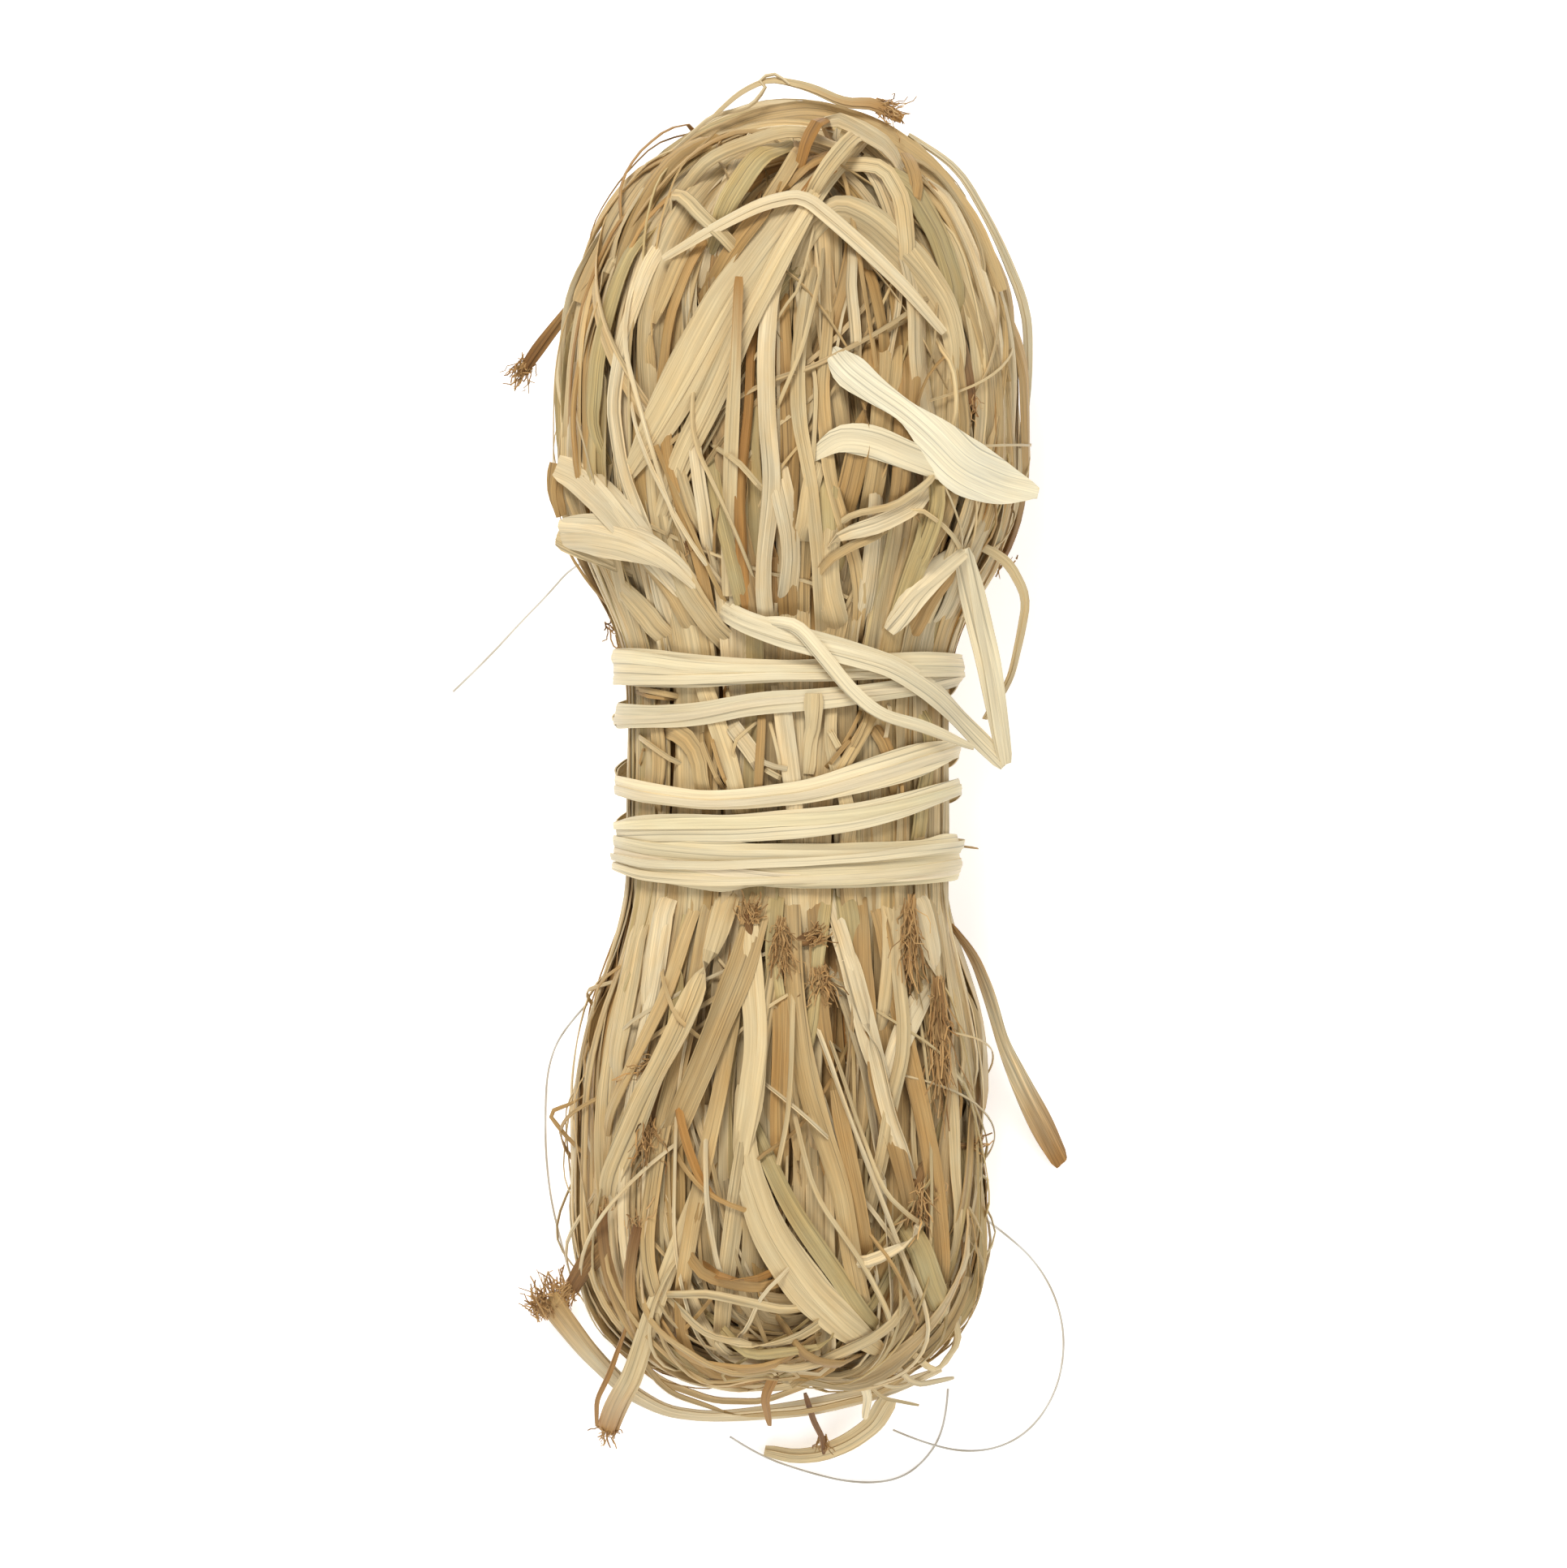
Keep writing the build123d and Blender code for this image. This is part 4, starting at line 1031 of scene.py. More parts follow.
def add_course(bank, rng, width, tint, lift, plan):
    """A strip over the face that comes up from among the others and goes down again."""
    line = resample(rounded(np.array(plan, float), cut=0.16), 2.2)
    flat = np.column_stack([line, np.zeros(len(line))])
    distance = lengths_along(flat)
    side = unit(np.cross(unit(np.gradient(flat, axis=0)), (0.0, 0.0, 1.0)))
    flat = flat + side * kinks(rng, distance, 26, 0.45)[:, None]
    inside = np.abs(flat[:, 0] - along("lean", flat[:, 1])) / np.maximum(outline(flat[:, 1]), 1)
    height = face_height(flat[:, 0], flat[:, 1])
    held = ease(HELD_DOWN, 1.0, 20, FREE_START, np.abs(flat[:, 1] - HELD_MIDDLE))
    rise = (lift + COURSE_LIFT + np.abs(kinks(rng, distance, 30, 0.5))) * held
    flat[:, 2] = height + rise - np.maximum(inside - EDGE_START, 0) * EDGE_FALL
    normals = skin_normals(flat)
    tucked = tuck(distance, length=min(TUCK_LENGTH, 0.3 * distance[-1]))
    flat = flat - normals * tucked[:, None]
    free = waist_squeeze(flat[:, 1])
    if width < THREAD_WIDTH:
        add_ribbon(bank, rng, flat, normals, width, tint, samples=3, curl=0.6, thickness=0.25, roll_size=0.4,
                   free=free)
        return
    share = distance / distance[-1]
    widths = width * (0.7 + 0.3 * np.sin(np.pi * share) ** 0.6)
    shade = np.asarray(tint) * rng.uniform(0.93, 1.05)
    add_ribbon(bank, rng, flat, normals, widths, shade, samples=7, curl=rng.uniform(0.1, 0.8),
               crease=rng.uniform(0.2, 0.45), roll=rng.normal(0, 0.15), roll_size=0.25,
               flips=int(rng.random() < 0.25), free=free)


def make_courses():
    rng = np.random.default_rng(59)
    for half, courses in (("crown", CROWN_COURSES + CROWN_THREADS), ("foot", FOOT_COURSES + FOOT_THREADS),
                          ("waist", WAIST_COURSES)):
        bank = Bank()
        for course in courses:
            add_course(bank, rng, *course)
        make_piece(bank, f"{half}_face_courses", "raffia")


make_bundles()
make_crossing_strips()
make_courses()

# ---- the binding: one long strip wound down the waist ----
BAND_LIFT = 2.3
LEAF_STEP = 0.3         # height of each narrower leaf over the one below it
BAND_END_DEPTH = 4      # how deep the binding's own two ends dive in, and over what length
BAND_END_LENGTH = 16
BAND_GAP = 2
# For each turn, points over the face from left to right: x, y and the width there.
BANDS = (
    ((-33, 22, 7.2), (-24, 21.4, 7), (-14, 20.6, 5.8), (-4, 20.6, 4.8), (6, 20.8, 4.4), (16, 21.6, 4.4),
     (26, 21.8, 4.8), (33, 21.8, 5)),
    ((-32, 12.6, 4.6), (-20, 12.4, 5), (-12.5, 12.8, 4.2), (-4, 14.6, 3.8), (9.5, 16, 4.4), (25.5, 18.2, 3.8),
     (33, 20, 3)),
    ((-31, 0, 4.6), (-25, -1.4, 4), (-13, -3, 3.8), (-4, -2.7, 3.8), (2, -1.6, 4.4), (11, 1.1, 5.8),
     (20, 3.5, 6.2), (32, 6.8, 4)),
    ((-31, -8.6, 3), (-25, -8.3, 4.6), (-16, -8, 5.4), (-4, -7.8, 5.4), (11, -6, 5), (20, -4, 4.4),
     (27, -2, 3.6), (32, -0.6, 3.2)),
    ((-31, -12.8, 6), (-24, -14.4, 7.4), (-10, -15, 7.8), (2, -14.6, 7.6), (14, -14.2, 7.6),
     (25, -13.2, 7.6), (32, -12.6, 7)),
    ((-31, -11.6, 3), (-24, -12.6, 3.6), (-10, -15.4, 4.2), (2, -17.2, 3.8), (14, -17.2, 3.4),
     (25, -16.6, 3.4), (32, -15.8, 3.6)),
)
# Narrower leaves of the same strip that lie on it: turn, where they start and end across it, and width.
SPLITS = ((0, -0.3, 0.25, 0.42), (0, 0.34, 0.1, 0.26), (1, 0.1, -0.32, 0.36), (2, 0.3, -0.1, 0.34),
          (3, -0.32, 0.28, 0.42), (4, -0.4, 0.1, 0.3), (4, 0.36, 0.3, 0.26), (4, 0.1, -0.4, 0.22),
          (5, 0.3, -0.3, 0.4))


def band_route(index):
    """Round the waist from the left edge over the face, then round the back to the next turn's left."""
    line = np.array(BANDS[index])
    following = np.array(BANDS[min(index + 1, len(BANDS) - 1)][0])
    front = np.linspace(math.pi * 1.12, -math.pi * 0.04, 62)
    back = np.linspace(-math.pi * 0.04, -math.pi * 0.97, 50)[1:]
    x = WAIST["lean"] + (WAIST["half_width"] + BAND_GAP) * np.cos(front)
    turns = np.concatenate([front, back])
    columns = []
    for column in (1, 2):
        over = np.interp(x, line[:, 0], line[:, column])
        under = np.interp(back, (-math.pi, 0), (following[column], line[-1, column]))
        values = np.pad(np.concatenate([over, under]), 3, mode="edge")
        columns.append(np.convolve(values, np.hanning(9)[1:-1] / np.hanning(9).sum(), mode="valid"))
    y, width = columns
    return np.column_stack([skin(turns, y), width])


def make_binding():
    rng = np.random.default_rng(47)
    for index in range(len(BANDS)):
        bank = Bank()
        line = resample(band_route(index), 1.6)
        route, width = line[:, :3], line[:, 3]
        distance = lengths_along(route)
        share = distance / distance[-1]
        normals = skin_normals(route)
        side = unit(np.cross(unit(np.gradient(route, axis=0)), normals))
        leaves = [(0.0, 0.0, 1.0)] + [split[1:] for split in SPLITS if split[0] == index]
        for number, (first, last, part) in enumerate(leaves):
            shift = width * (first + (last - first) * share + kinks(rng, distance, 26, 0.04))
            lift = BAND_LIFT + LEAF_STEP * number + kinks(rng, distance, 24, 0.12)
            if index == 0:
                lift = lift - ease(BAND_END_DEPTH, 0, 0, BAND_END_LENGTH, distance)
            if index == len(BANDS) - 1:
                lift = lift - ease(BAND_END_DEPTH, 0, 0, BAND_END_LENGTH, distance[-1] - distance)
            points = route + normals * lift[:, None] + side * shift[:, None]
            tint = np.array(FRESH) * rng.uniform(0.94, 1.05) * (1, rng.uniform(0.97, 1), rng.uniform(0.9, 1))
            add_ribbon(bank, rng, points, normals, width * part, tint, curl=0.3, crease=0.2 + 0.06 * number,
                       roll_size=0.1, samples=13 if number == 0 else 6, thickness=0.25, ends=(1, 1))
        make_piece(bank, f"binding_band_{index + 1}", "binding", f"binding_turn_{index + 1}")


make_binding()


# ---- strips with a course of their own ----
def on_face(points):
    """Routes over the hank: x, y and the height above its upper surface, to x, y and z."""
    return [(x, y, float(face_height(np.array(x), np.array(y))) + lift) for x, y, lift in points]


LEAF_SPACING = 1.6
LEAF_GAP = 0.22
SKIN_PULL = 0.55        # how much a strip faces as the skin under it does, against straight up


def add_leaf(bank, rng, route, widths, tint, leaves=2, samples=13, **looks):
    """A strip through the points of route, with narrower leaves of it lying along its face."""
    line = resample(rounded(np.column_stack([route, widths])), LEAF_SPACING)
    distance = lengths_along(line)
    share = distance / distance[-1]
    normals = unit(SKIN_PULL * skin_normals(line[:, :3]) + np.array((0.0, 0.0, 1.0)))
    side = unit(np.cross(unit(np.gradient(line[:, :3], axis=0)), normals))
    for leaf in range(leaves):
        part = 1.0 if leaf == 0 else rng.uniform(0.25, 0.45)
        first, last = (0, 0) if leaf == 0 else rng.uniform(-0.5, 0.5, 2) * (1 - part)
        shift = line[:, 3] * (first + (last - first) * share + kinks(rng, distance, 20, 0.03))
        points = line[:, :3] + side * shift[:, None] + normals * (LEAF_GAP * leaf)
        shade = np.asarray(tint) * rng.uniform(0.95, 1.03)
        add_ribbon(bank, rng, points, normals, line[:, 3] * part, shade, samples=samples if leaf == 0 else 5,
                   **looks)


TAIL_CROSSING = on_face(((-15, 34.5, -3), (-8, 29.6, 3.6), (1, 26.4, 4.6), (11, 24, 4.6), (20, 21.6, 4.6),
                         (28, 16.5, 5)))
TAIL_CROSSING += [(35, 9.5, 29.5), (41, 3.6, 26.5)]
TAIL_RISING = [(41, 3.6, 26.5), (39.8, 10, 29), (37.5, 22.5, 34.5), (35, 32.5, 40)]
TAIL_RISING += on_face(((32.6, 42.6, 3.4),))
TAIL_TUCKED = on_face(((32.6, 42.6, 3.4), (28, 39, 3.4), (23.4, 34.4, 3.4), (21.5, 31, 3.2), (19, 27.8, 2)))
KINKED = on_face(((-6, 29.6, 2), (-1, 29.4, 4.4), (2.6, 28.6, 5.4), (6.8, 23.7, 5.6), (11.7, 17.7, 4.8),
                  (15.5, 14.1, 4.6)))
KINKED += on_face(((18.8, 12.2, 4.6), (26, 10.4, 4.8))) + [(34.8, 6.6, 38)]
STUB = on_face(((5.7, 16.4, 3.2), (5.6, 12.5, 2.8), (5.4, 9.6, 1.2), (4.9, 8.2, 0.8), (4.5, 1.8, 0.6)))
TWIST_UPPER = on_face(((8.6, 78.4, 3), (11.5, 74.4, 6.2), (16.5, 70.4, 6.6), (22, 66.8, 7), (27, 62.7, 7.2),
                       (33, 57.2, 7)))
TWIST_UPPER += [(40, 54.2, 43.4), (46.5, 53, 40.4)]
TWIST_LOWER = [(46.5, 53, 40.4), (39, 54.6, 41.4)]
TWIST_LOWER += on_face(((30, 56.4, 5.2), (22, 59, 5.6), (15.5, 61.6, 5.6), (9.9, 62.2, 5.4), (4, 58, 3)))
FOLD_HIGH = [(-41.4, 58.2, 38.6), (-37.5, 56.4, 41)] + on_face(((-31, 50, 6), (-25, 42.6, 5.6), (-18, 34, 2)))
FOLD_BACK = [(-41.6, 58.6, 37.6), (-42, 53.5, 36.6), (-40.6, 49, 36.6)]
FOLD_UNDER = [(-41.2, 45.6, 40), (-35, 42.5, 42.6), (-27, 39, 42)]
FOLD_LOW = [(-40.8, 45.9, 41), (-36, 45.9, 46)]
FOLD_LOW += on_face(((-28, 44.4, 6.8), (-20.4, 40.8, 5.6), (-13, 33, 1.4)))
LOOP_DOWN = on_face(((9, -26, 1.4), (12, -32, 3.8), (14, -40, 4), (16, -48, 4), (18.6, -55.6, 3.8)))
LOOP_UP = on_face(((18.6, -55.6, 3.4), (20.6, -48, 3.8), (23.4, -41.6, 3.8), (27, -36, 1.6)))

# Name, kind, and for each run of the strip its route, widths and tint.
STRIPS = (
    ("binding_tail", "binding", (
        (TAIL_CROSSING, (3.4, 4.8, 5.2, 4.8, 4.4, 4, 4, 2.8), FRESH),
        (TAIL_RISING, (2.8, 4, 5.2, 4.6, 3.4), FRESH),
        (TAIL_TUCKED, (3.4, 5, 5.4, 4.4, 3), PALE),
    )),
    ("kinked_tail", "binding", ((KINKED, (1.2, 2, 2.4, 2.6, 2.6, 2.6, 2.4, 2.8, 1.2), FRESH),)),
    ("tucked_stub", "loose", ((STUB, (3.4, 3.4, 3.2, 3, 2.6), CREAM),)),
    ("twisted_wide_strip", "binding", (
        (TWIST_UPPER, (2.4, 7, 5, 3.8, 7, 11, 8.6, 2.6), BRIGHT),
        (TWIST_LOWER, (2.6, 4, 4.6, 5, 5.4, 4.4, 1.2), FRESH),
    )),
    ("folded_strip_high", "loose", ((FOLD_HIGH, (5, 6.4, 6.6, 5, 2.4), PALE), (FOLD_BACK, (4, 3, 2.4), TAN))),
    ("folded_strip_low", "loose", (
        (FOLD_LOW, (7.2, 7.8, 7.4, 4, 1.4), PALE),
        (FOLD_UNDER, (6, 6, 3), CREAM),
    )),
    ("looped_strip", "loose", ((LOOP_DOWN, (2, 3.6, 4, 4, 2.6), PALE), (LOOP_UP, (2.6, 4, 4.4, 3), PALE))),
    ("wide_diagonal_strip", "loose", ((on_face((
        (12.8, 116, 2.4), (5.3, 109, 4.4), (-3, 98.4, 5.2), (-10, 87.9, 5.4), (-17.4, 74.4, 5.4),
        (-23, 63.9, 4.8), (-29, 54.2, 2.4))), (3, 4.6, 6, 8, 8.8, 6.4, 1.6), CREAM),)),
    ("second_diagonal_strip", "loose", ((on_face((
        (15, 118, 2), (6.5, 107, 6), (-0.5, 95, 6), (-7, 83, 5.4), (-12.5, 70, 5),
        (-18.4, 58.4, 4.4), (-22, 48, 1.6))), (3, 3, 3.8, 4.4, 5.4, 5.2, 3), CREAM),)),
    ("crossing_strip", "loose", ((on_face((
        (-21.8, 94.7, 5), (-12.8, 99.9, 6), (-4, 104.4, 7), (3.4, 106, 7.4), (9.8, 100.7, 6.6),
        (16.5, 94.7, 6), (23.3, 87.9, 6), (29, 81.4, 4.4))), (1.4, 2, 2.4, 2.4, 2.8, 2.8, 2.4, 1.6), PALE),)),
    ("inner_arch_strip", "loose", ((on_face((
        (2, 92, 1.4), (4.6, 99.6, 3), (9.5, 104.6, 3.6), (16, 101.4, 4), (24, 93.2, 4.2),
        (29.4, 86, 4), (31.4, 78, 4), (30.6, 69.6, 2))), (2, 3.6, 5, 7, 7.8, 6, 4.4, 2), CREAM),)),
    ("centre_strip", "loose", ((on_face((
        (-8, 91, 8.2), (-8.6, 77.4, 7.6), (-9.4, 62, 5.6), (-9.8, 47, 3.6), (-10, 34, 1.6))),
        (1.6, 2.4, 3, 3, 2.4), CREAM),)),
    ("root_strip", "loose", ((on_face((
        (-6.4, -23.4, 2.4), (-5.6, -35, 4), (-4.8, -46, 4.4), (-6, -57, 5), (-7.4, -68, 3.4))),
        (3.4, 4.8, 5.2, 5, 3), CREAM),)),
    ("bent_diagonal_strip", "loose", ((on_face((
        (-7.4, -54.4, 2), (-6.8, -68, 3.6), (-2.6, -80.6, 4.4), (5, -91.6, 4.4), (12, -98.6, 4.4),
        (18, -103.6, 2))), (3.4, 5.4, 6.8, 7.4, 6.4, 3), CREAM),)),
    ("crown_strip", "loose", (((
        (-37.5, 88, 39), (-33.5, 97, 38.6), (-27, 107, 38), (-17.5, 116, 37.6), (-5, 121.5, 37.4),
        (6, 123, 37.4), (17, 119.5, 37.6), (27, 112.5, 38), (35, 102, 38.6), (39.8, 90, 39)),
        (3, 4.6, 5.4, 5.4, 5, 5, 5, 5, 4.6, 3), STRAW),)),
    ("crown_loop_strip", "loose", (((
        (-12.8, 121.6, 42), (-8, 126, 42), (-2.6, 128.6, 41.6), (4.6, 127.2, 41), (11.3, 124.2, 40),
        (16.5, 124.4, 39.4), (21.8, 121.6, 38.4)), (0.8, 1.2, 1.4, 1.8, 2, 2.6, 2.4), CREAM),)),
    ("right_loose_strip", "loose", (((
        (23, 119.4, 31), (32.4, 113.4, 29), (39.4, 101.4, 27), (45.2, 87.6, 25), (45.4, 75, 24),
        (44, 62, 24)),
        (1, 1.6, 1.8, 2.2, 1.8, 1.2), FRESH),)),
    ("right_hanging_strip", "loose", (((
        (31, 44, 42), (36.4, 43.4, 39.6), (41.4, 40.6, 35.6), (44.9, 34.2, 32.6), (43.6, 27, 31),
        (42, 19, 24), (37.4, 12, 18)), (1.2, 1.6, 2, 2, 2, 1.8, 1.6), CREAM),)),
    ("brown_end_left", "root", (((
        (-34, 95, 29), (-37.4, 90.6, 27.6), (-40.6, 86.5, 26), (-42.8, 83.8, 25.4), (-45.8, 80.1, 24.4),
        (-48.4, 76.5, 23.4)),
        (1.2, 1.8, 2.4, 2.6, 2.8, 2), TAN),)),
    ("brown_tail_right", "root", (((
        (31, -26, 27), (35.4, -32, 23), (38.4, -39.6, 20), (41, -48.6, 16), (45, -57, 11), (49, -64.6, 6),
        (52.6, -71.4, 1)),
        (1, 2.4, 3.4, 3.2, 4.6, 5.6, 4), PALE),)),
    ("bottom_root_strip", "loose", (((
        (-44.2, -96.6, 6), (-41, -101, 7), (-36.6, -106.6, 8), (-29.4, -113.6, 10), (-22, -117.4, 11),
        (-13, -118.4, 11.6), (5, -116.6, 12), (20, -113.2, 12), (29.5, -109.4, 12)),
        (7, 6.4, 5.4, 4, 3, 2.8, 3.8, 3.8, 2), PALE),)),
    ("forked_strip", "loose", ((
        on_face(((-12, -66, -2), (-14.5, -72.3, 2.8), (-18.9, -83.2, 3.2), (-23.9, -96.3, 3.2)))
        + [(-27.6, -108.6, 36), (-29.6, -112.4, 31), (-31.4, -116.2, 24), (-33, -120.6, 16)],
        (3.4, 3.6, 3.8, 3.8, 4.2, 4.6, 4.8, 4.4), CREAM),)),
    ("bottom_loose_strip", "loose", (((
        (19.4, -114.6, 17), (17, -119.6, 12), (12.4, -123.6, 6), (7, -126.2, 2.6), (2, -126.8, 1.8),
        (-3.6, -125.6, 1.6)), (4, 4, 4, 3.6, 3.4, 3), CREAM),)),
    ("dark_root_tip", "root", (((
        (-32.4, -83.6, 39), (-35.2, -87, 36), (-37.4, -90, 33), (-39.4, -93.4, 29)),
        (5, 4.8, 4.2, 2.6), TAN),)),
)


# Frayed root ends of some of them: the end's place, its direction, the brush's length and width, fibres.
STRIP_ROOTS = {
    "bottom_root_strip": ((-43.8, -97.4, 6), (-0.35, 0.9, 0.05), 5, 7, 150),
    "brown_end_left": ((-48.2, 76.8, 23.4), (-0.6, -0.8, -0.1), 4, 3, 70),
    "crown_loop_strip": ((19, 123.4, 39), (0.9, -0.4, 0), 5, 2.6, 60),
    "forked_strip": ((-32.6, -119.6, 17), (-0.2, -0.95, -0.4), 3.4, 3.4, 50),
    "dark_root_tip": ((-38.8, -92.4, 29.8), (-0.5, -0.8, -0.3), 3.6, 2.4, 50),
}
STRIP_END_TINTS = {
    "bottom_root_strip": (TAN, None),
    "brown_end_left": (None, BROWN),
    "crown_loop_strip": (None, ORANGE),
    "forked_strip": (None, ORANGE),
    "dark_root_tip": (TAN, BROWN),
    "brown_tail_right": (ORANGE, ORANGE),
    "centre_strip": (ORANGE, None),
}


LEAF_LOOKS = {"leaves": 2, "curl": 0.3, "crease": 0.26}
SMOOTH_LOOKS = {"leaves": 1, "curl": 0.1, "crease": 0.12}


def make_strips():
    for number, (name, kind, runs) in enumerate(STRIPS):
        rng = np.random.default_rng(100 + number)
        bank = Bank()
        looks = SMOOTH_LOOKS if name == "twisted_wide_strip" else LEAF_LOOKS
        end_tints = STRIP_END_TINTS.get(name, (None, None))
        for route, widths, tint in runs:
            add_leaf(bank, rng, route, widths, tint, roll_size=0.12, end_tints=end_tints, **looks)
        if name in STRIP_ROOTS:
            add_fray(bank, rng, *STRIP_ROOTS[name])
        make_piece(bank, f"{name}_leaf", kind, name)


# Each tuft: its root's place, the direction that it points in degrees from +X, length, width, fibres and
# the length of leaf that shows behind it.
ROOT_TUFTS = (
    (-6.4, -23.4, 92, 3.4, 3.6, 90, 20),
    (0.6, -28, 272, 8, 1.8, 110, 0),
    (6, -27.6, 30, 3, 3, 60, 12),
    (6.8, -36, 280, 5, 3.2, 90, 9),
    (23.4, -27.5, 268, 13, 2.2, 120, 6),
    (-25.6, -51.5, 215, 5, 2, 40, 14),
    (-24, -64, 265, 7, 4.2, 120, 16),
    (27.7, -46, 270, 18, 2.4, 150, 4),
    (24.4, -76, 260, 6, 2.4, 60, 10),
    (34.6, -66, 5, 3.6, 1.4, 30, 5),
)


TUFT_HEIGHT = 3.2
TUFT_RISE = 3.6
TUFT_TIP_HEIGHT = 2.4
STEEPEST_TUFT = 0.4
STEM_POINTS = 10


def make_tufts():
    rng = np.random.default_rng(77)
    bank = Bank()
    for x, y, pointing, length, width, fibres, stem in ROOT_TUFTS:
        aim = np.array((math.cos(math.radians(pointing)), math.sin(math.radians(pointing)), 0.0))
        run = np.linspace(1, 0, STEM_POINTS)[:, None]
        route = np.array((x, y, 0.0)) - aim * run * (stem + 2)
        route[:, :2] += np.cumsum(rng.normal(0, 0.3, (STEM_POINTS, 2)), axis=0)[::-1]
        route[:, 2] = face_height(route[:, 0], route[:, 1]) + TUFT_HEIGHT - TUFT_RISE * run[:, 0]
        widths = np.interp(run[:, 0], (0, 0.3, 1), (width * 0.9, width, width * 0.6))
        add_ribbon(bank, rng, route, skin_normals(route), widths, STRAW, samples=7, curl=0.6, crease=0.4,
                   end_tints=(None, BROWN))
        tip = route[-1] + aim * length
        fall = face_height(tip[0], tip[1]) + TUFT_TIP_HEIGHT - route[-1, 2]
        aim[2] = np.clip(fall / length, -STEEPEST_TUFT, STEEPEST_TUFT)
        add_fray(bank, rng, route[-1], aim, length, width, fibres)
    make_piece(bank, "root_tuft_fibres", "root", "root_tufts")


# ---- thin strips that stand off the hank, between the foot and the strip round it and at its outline ----
# Each: width, tint and the points that it passes.
FREE_STRIPS = (
    (1.7, STRAW, ((-36.5, -84, 26), (-36, -94, 22), (-31, -104, 18), (-23, -111, 16), (-13, -114.6, 16),
                  (-4, -114.6, 18), (5, -111, 22))),
    (1.4, PALE, ((-34, -86, 30), (-32, -97, 28), (-25, -106, 26), (-17, -110.6, 24), (-5, -112, 24),
                 (6, -109, 28))),
    (2.0, CREAM, ((-29, -98, 35), (-20, -108, 32), (-9, -111.6, 30), (2, -110.6, 31), (10, -104, 35))),
    (1.2, STRAW, ((-31, -99, 31), (-22, -112.6, 22), (-9, -117.4, 18), (4, -116.6, 18), (18, -113, 20),
                  (27, -106, 24))),
    (1.0, ORANGE, ((-28.6, -99, 38), (-32, -108.6, 30), (-34.6, -114, 24), (-34.8, -119.4, 18))),
    (2.2, PALE, ((2, -98, 43), (9, -105, 39), (14.4, -109.4, 33), (15.6, -113, 28), (15, -117.6, 22))),
    (1.9, ORANGE, ((7, -97, 43), (-0.7, -106.4, 37), (-3.6, -112.8, 31), (-2.6, -118.8, 23))),
    (1.2, BROWN, ((4, -113, 21), (5.6, -118.6, 14), (7.4, -122.6, 8), (7.6, -126, 4))),
    (1.4, CREAM, ((20, -101, 36), (28, -109, 28), (32.6, -103, 27), (31, -95, 31))),
    (1.2, PALE, ((16, -101, 38), (24, -111, 28), (31.6, -110, 22))),
    (1.0, PALE, ((8, -102, 40), (20, -112, 28), (30.6, -107, 25), (32.6, -98, 28))),
    (0.8, CREAM, ((12, -101, 40), (17, -113, 27), (25, -115, 22))),
    (0.9, TAN, ((-34, -55, 33), (-38, -58.5, 30), (-43.4, -60.6, 27), (-40, -65, 27), (-35.4, -69.4, 29))),
    (0.8, PALE, ((-20, 116, 38), (-13.3, 121.9, 40), (-6, 123.4, 41), (-2.9, 127, 42), (-4.6, 128.6, 42),
                 (-1.4, 129.4, 42), (1, 127.4, 42))),
    (1.6, CREAM, ((-26.6, 99, 38), (-31.6, 101.6, 35), (-30.6, 107, 33), (-24.6, 112.4, 35),
                  (-16, 116.6, 38))),
    (1.2, STRAW, ((24, 118, 36), (29.6, 112, 36), (33, 104, 38), (33.6, 94, 41))),
    (1.0, PALE, ((-36, 94, 28), (-40.9, 84, 26), (-41.8, 74, 26), (-38.6, 62, 28))),
    (0.6, TAN, ((-34, 48, 36), (-40, 43, 28), (-36, 37, 28), (-29, 29, 32))),
    (0.5, TAN, ((27, -10.6, 33), (32, -11.4, 27), (36, -12, 23))),
    (0.7, CREAM, ((33, -70, 30), (38.4, -73, 26), (36.6, -78, 26), (31, -81, 32))),
    (0.8, TAN, ((-12, 117.6, 38), (-21, 115, 36), (-29.6, 109.6, 33), (-35.4, 100, 31), (-36, 91, 31))),
    (0.9, STRAW, ((31, 92, 40), (40.6, 84, 31), (43, 72, 28), (40, 60, 31))),
)
DARK_ROOT = ((7.4, -123.6, 6), (0.1, -0.95, -0.25), 3, 1.6, 24)


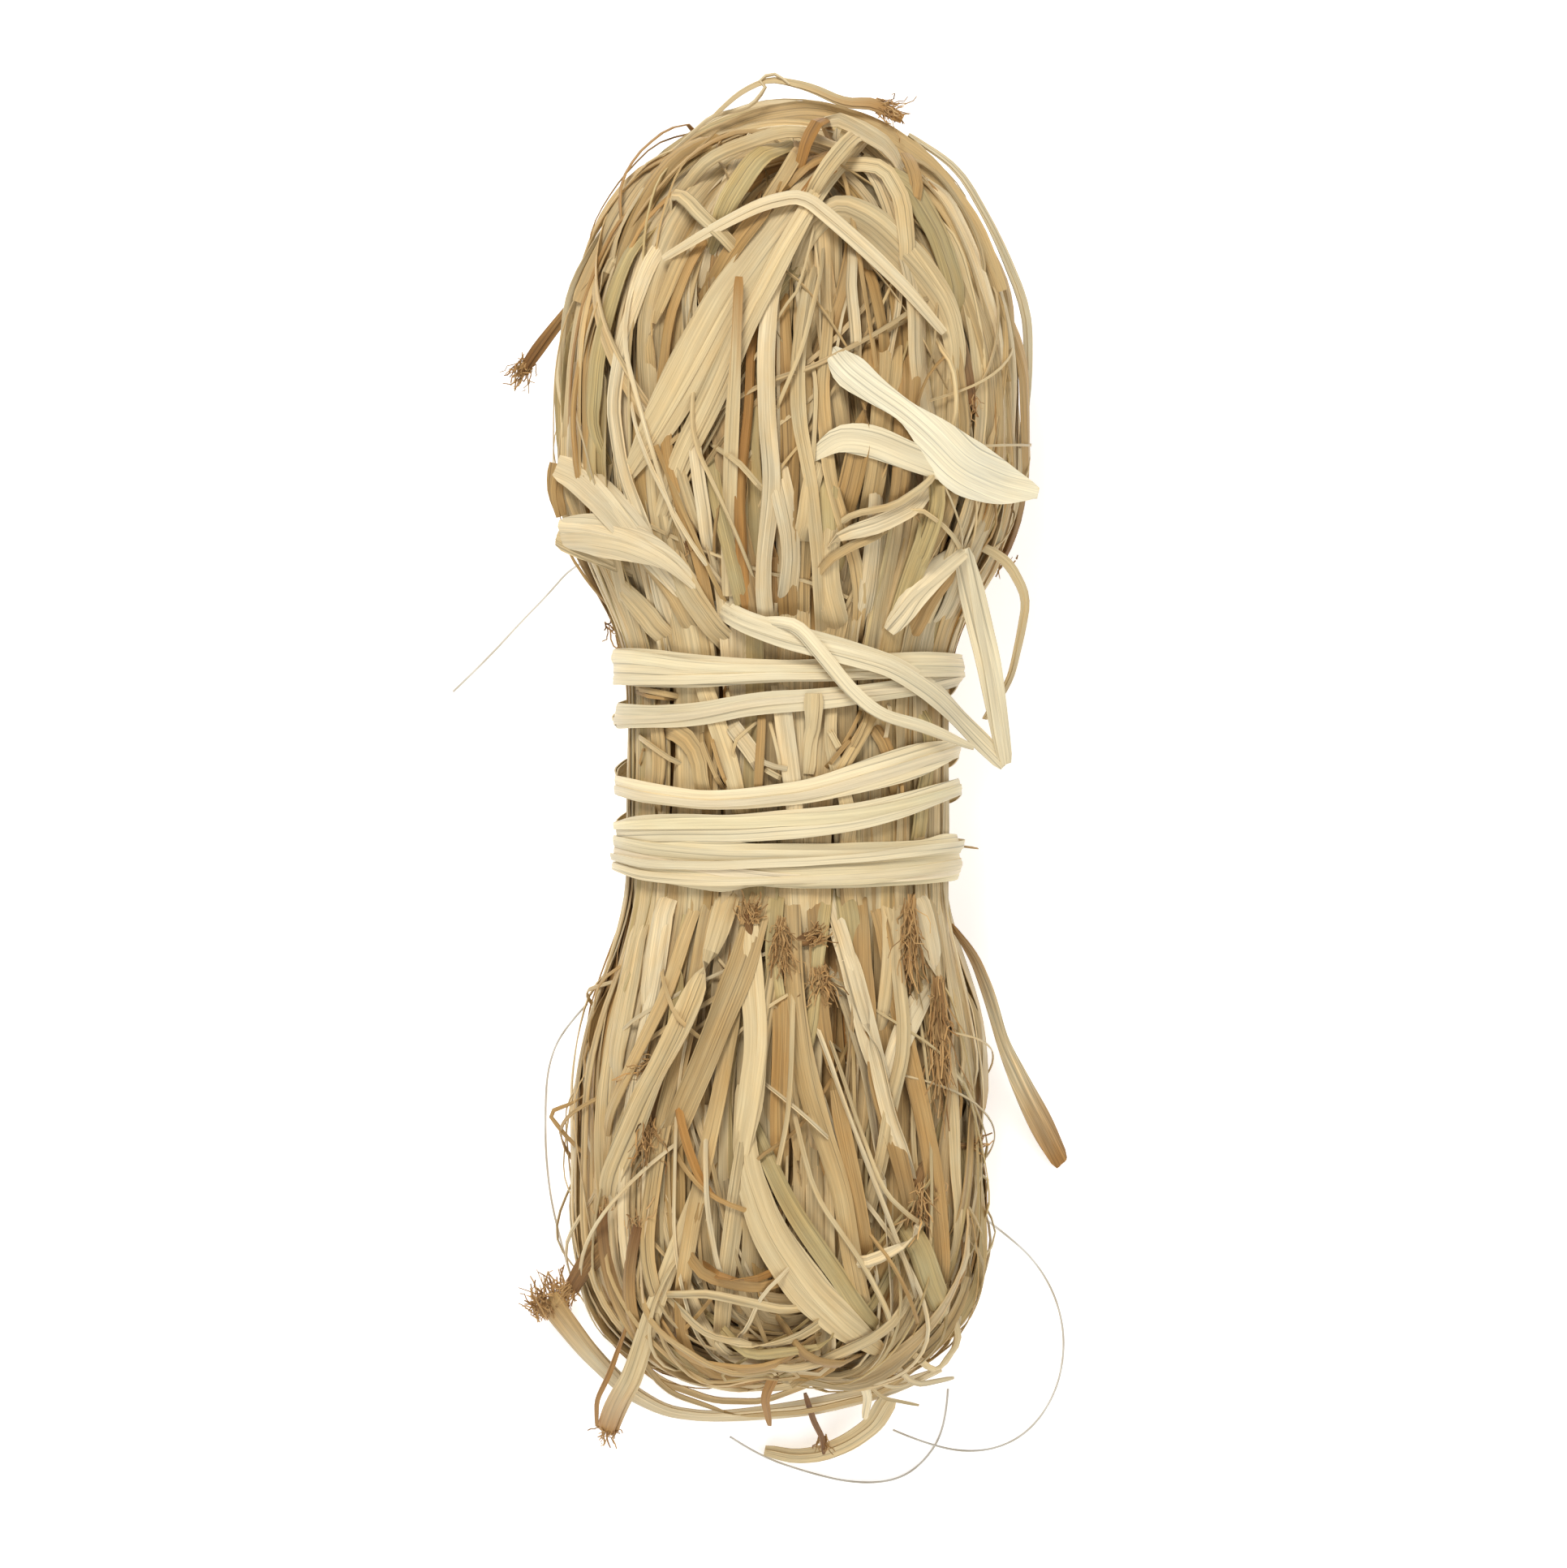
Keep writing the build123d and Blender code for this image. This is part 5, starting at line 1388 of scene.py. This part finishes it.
def make_free_strips():
    rng = np.random.default_rng(91)
    bank = Bank()
    for width, tint, points in FREE_STRIPS:
        line = resample(rounded(np.array(points, float), cut=0.14), 1.6)
        share = np.linspace(0, 1, len(line))
        widths = width * (0.6 + 0.4 * np.sin(np.pi * share) ** 0.6)
        normals = unit(0.6 * skin_normals(line) + np.array((0.0, 0.0, 1.0)))
        add_ribbon(bank, rng, line, normals, widths, tint, samples=4, curl=0.7, crease=0.2, thickness=0.22,
                   roll_size=0.4, flips=int(rng.random() < 0.4))
    add_fray(bank, rng, *DARK_ROOT)
    make_piece(bank, "thin_free_strips", "loose")


make_strips()
make_tufts()
make_free_strips()

# ---- surroundings ----
FLOOR_HALF = 3.0
LIT_POINT = Vector((0, 0, 0.02))


def make_floor():
    mesh = bpy.data.meshes.new("floor")
    corners = [(x * FLOOR_HALF, y * FLOOR_HALF, 0) for x, y in ((-1, -1), (1, -1), (1, 1), (-1, 1))]
    mesh.from_pydata(corners, [], [(0, 1, 2, 3)])
    floor = bpy.data.objects.new("floor", mesh)
    bpy.context.scene.collection.objects.link(floor)
    material = bpy.data.materials.new("floor")
    material.use_nodes = True
    shader = material.node_tree.nodes["Principled BSDF"]
    shader.inputs["Base Color"].default_value = (0.93, 0.93, 0.93, 1)
    shader.inputs["Roughness"].default_value = 0.9
    shader.inputs["Emission Color"].default_value = (1, 1, 1, 1)
    shader.inputs["Emission Strength"].default_value = 0.5
    mesh.materials.append(material)


def add_light(name, position, size, power, colour=(1, 1, 1)):
    data = bpy.data.lights.new(name, "AREA")
    data.shape = "DISK"
    data.size = size
    data.energy = power
    data.color = colour
    light = bpy.data.objects.new(name, data)
    light.location = position
    aim = LIT_POINT - Vector(position)
    light.rotation_euler = aim.to_track_quat("-Z", "Y").to_euler()
    bpy.context.scene.collection.objects.link(light)


def make_surroundings():
    make_floor()
    add_light("key", (-0.25, 0.75, 0.95), 0.45, 9.2, (1.0, 0.98, 0.95))
    add_light("fill", (0.6, -0.2, 0.9), 0.9, 2.4)
    add_light("foot_fill", (-0.2, -0.9, 0.75), 0.9, 4.9)
    world = bpy.data.worlds.new("studio")
    world.use_nodes = True
    background = world.node_tree.nodes["Background"]
    background.inputs["Color"].default_value = (1, 1, 1, 1)
    background.inputs["Strength"].default_value = 0.35
    bpy.context.scene.world = world
    bpy.context.scene.view_settings.view_transform = "Standard"


make_surroundings()
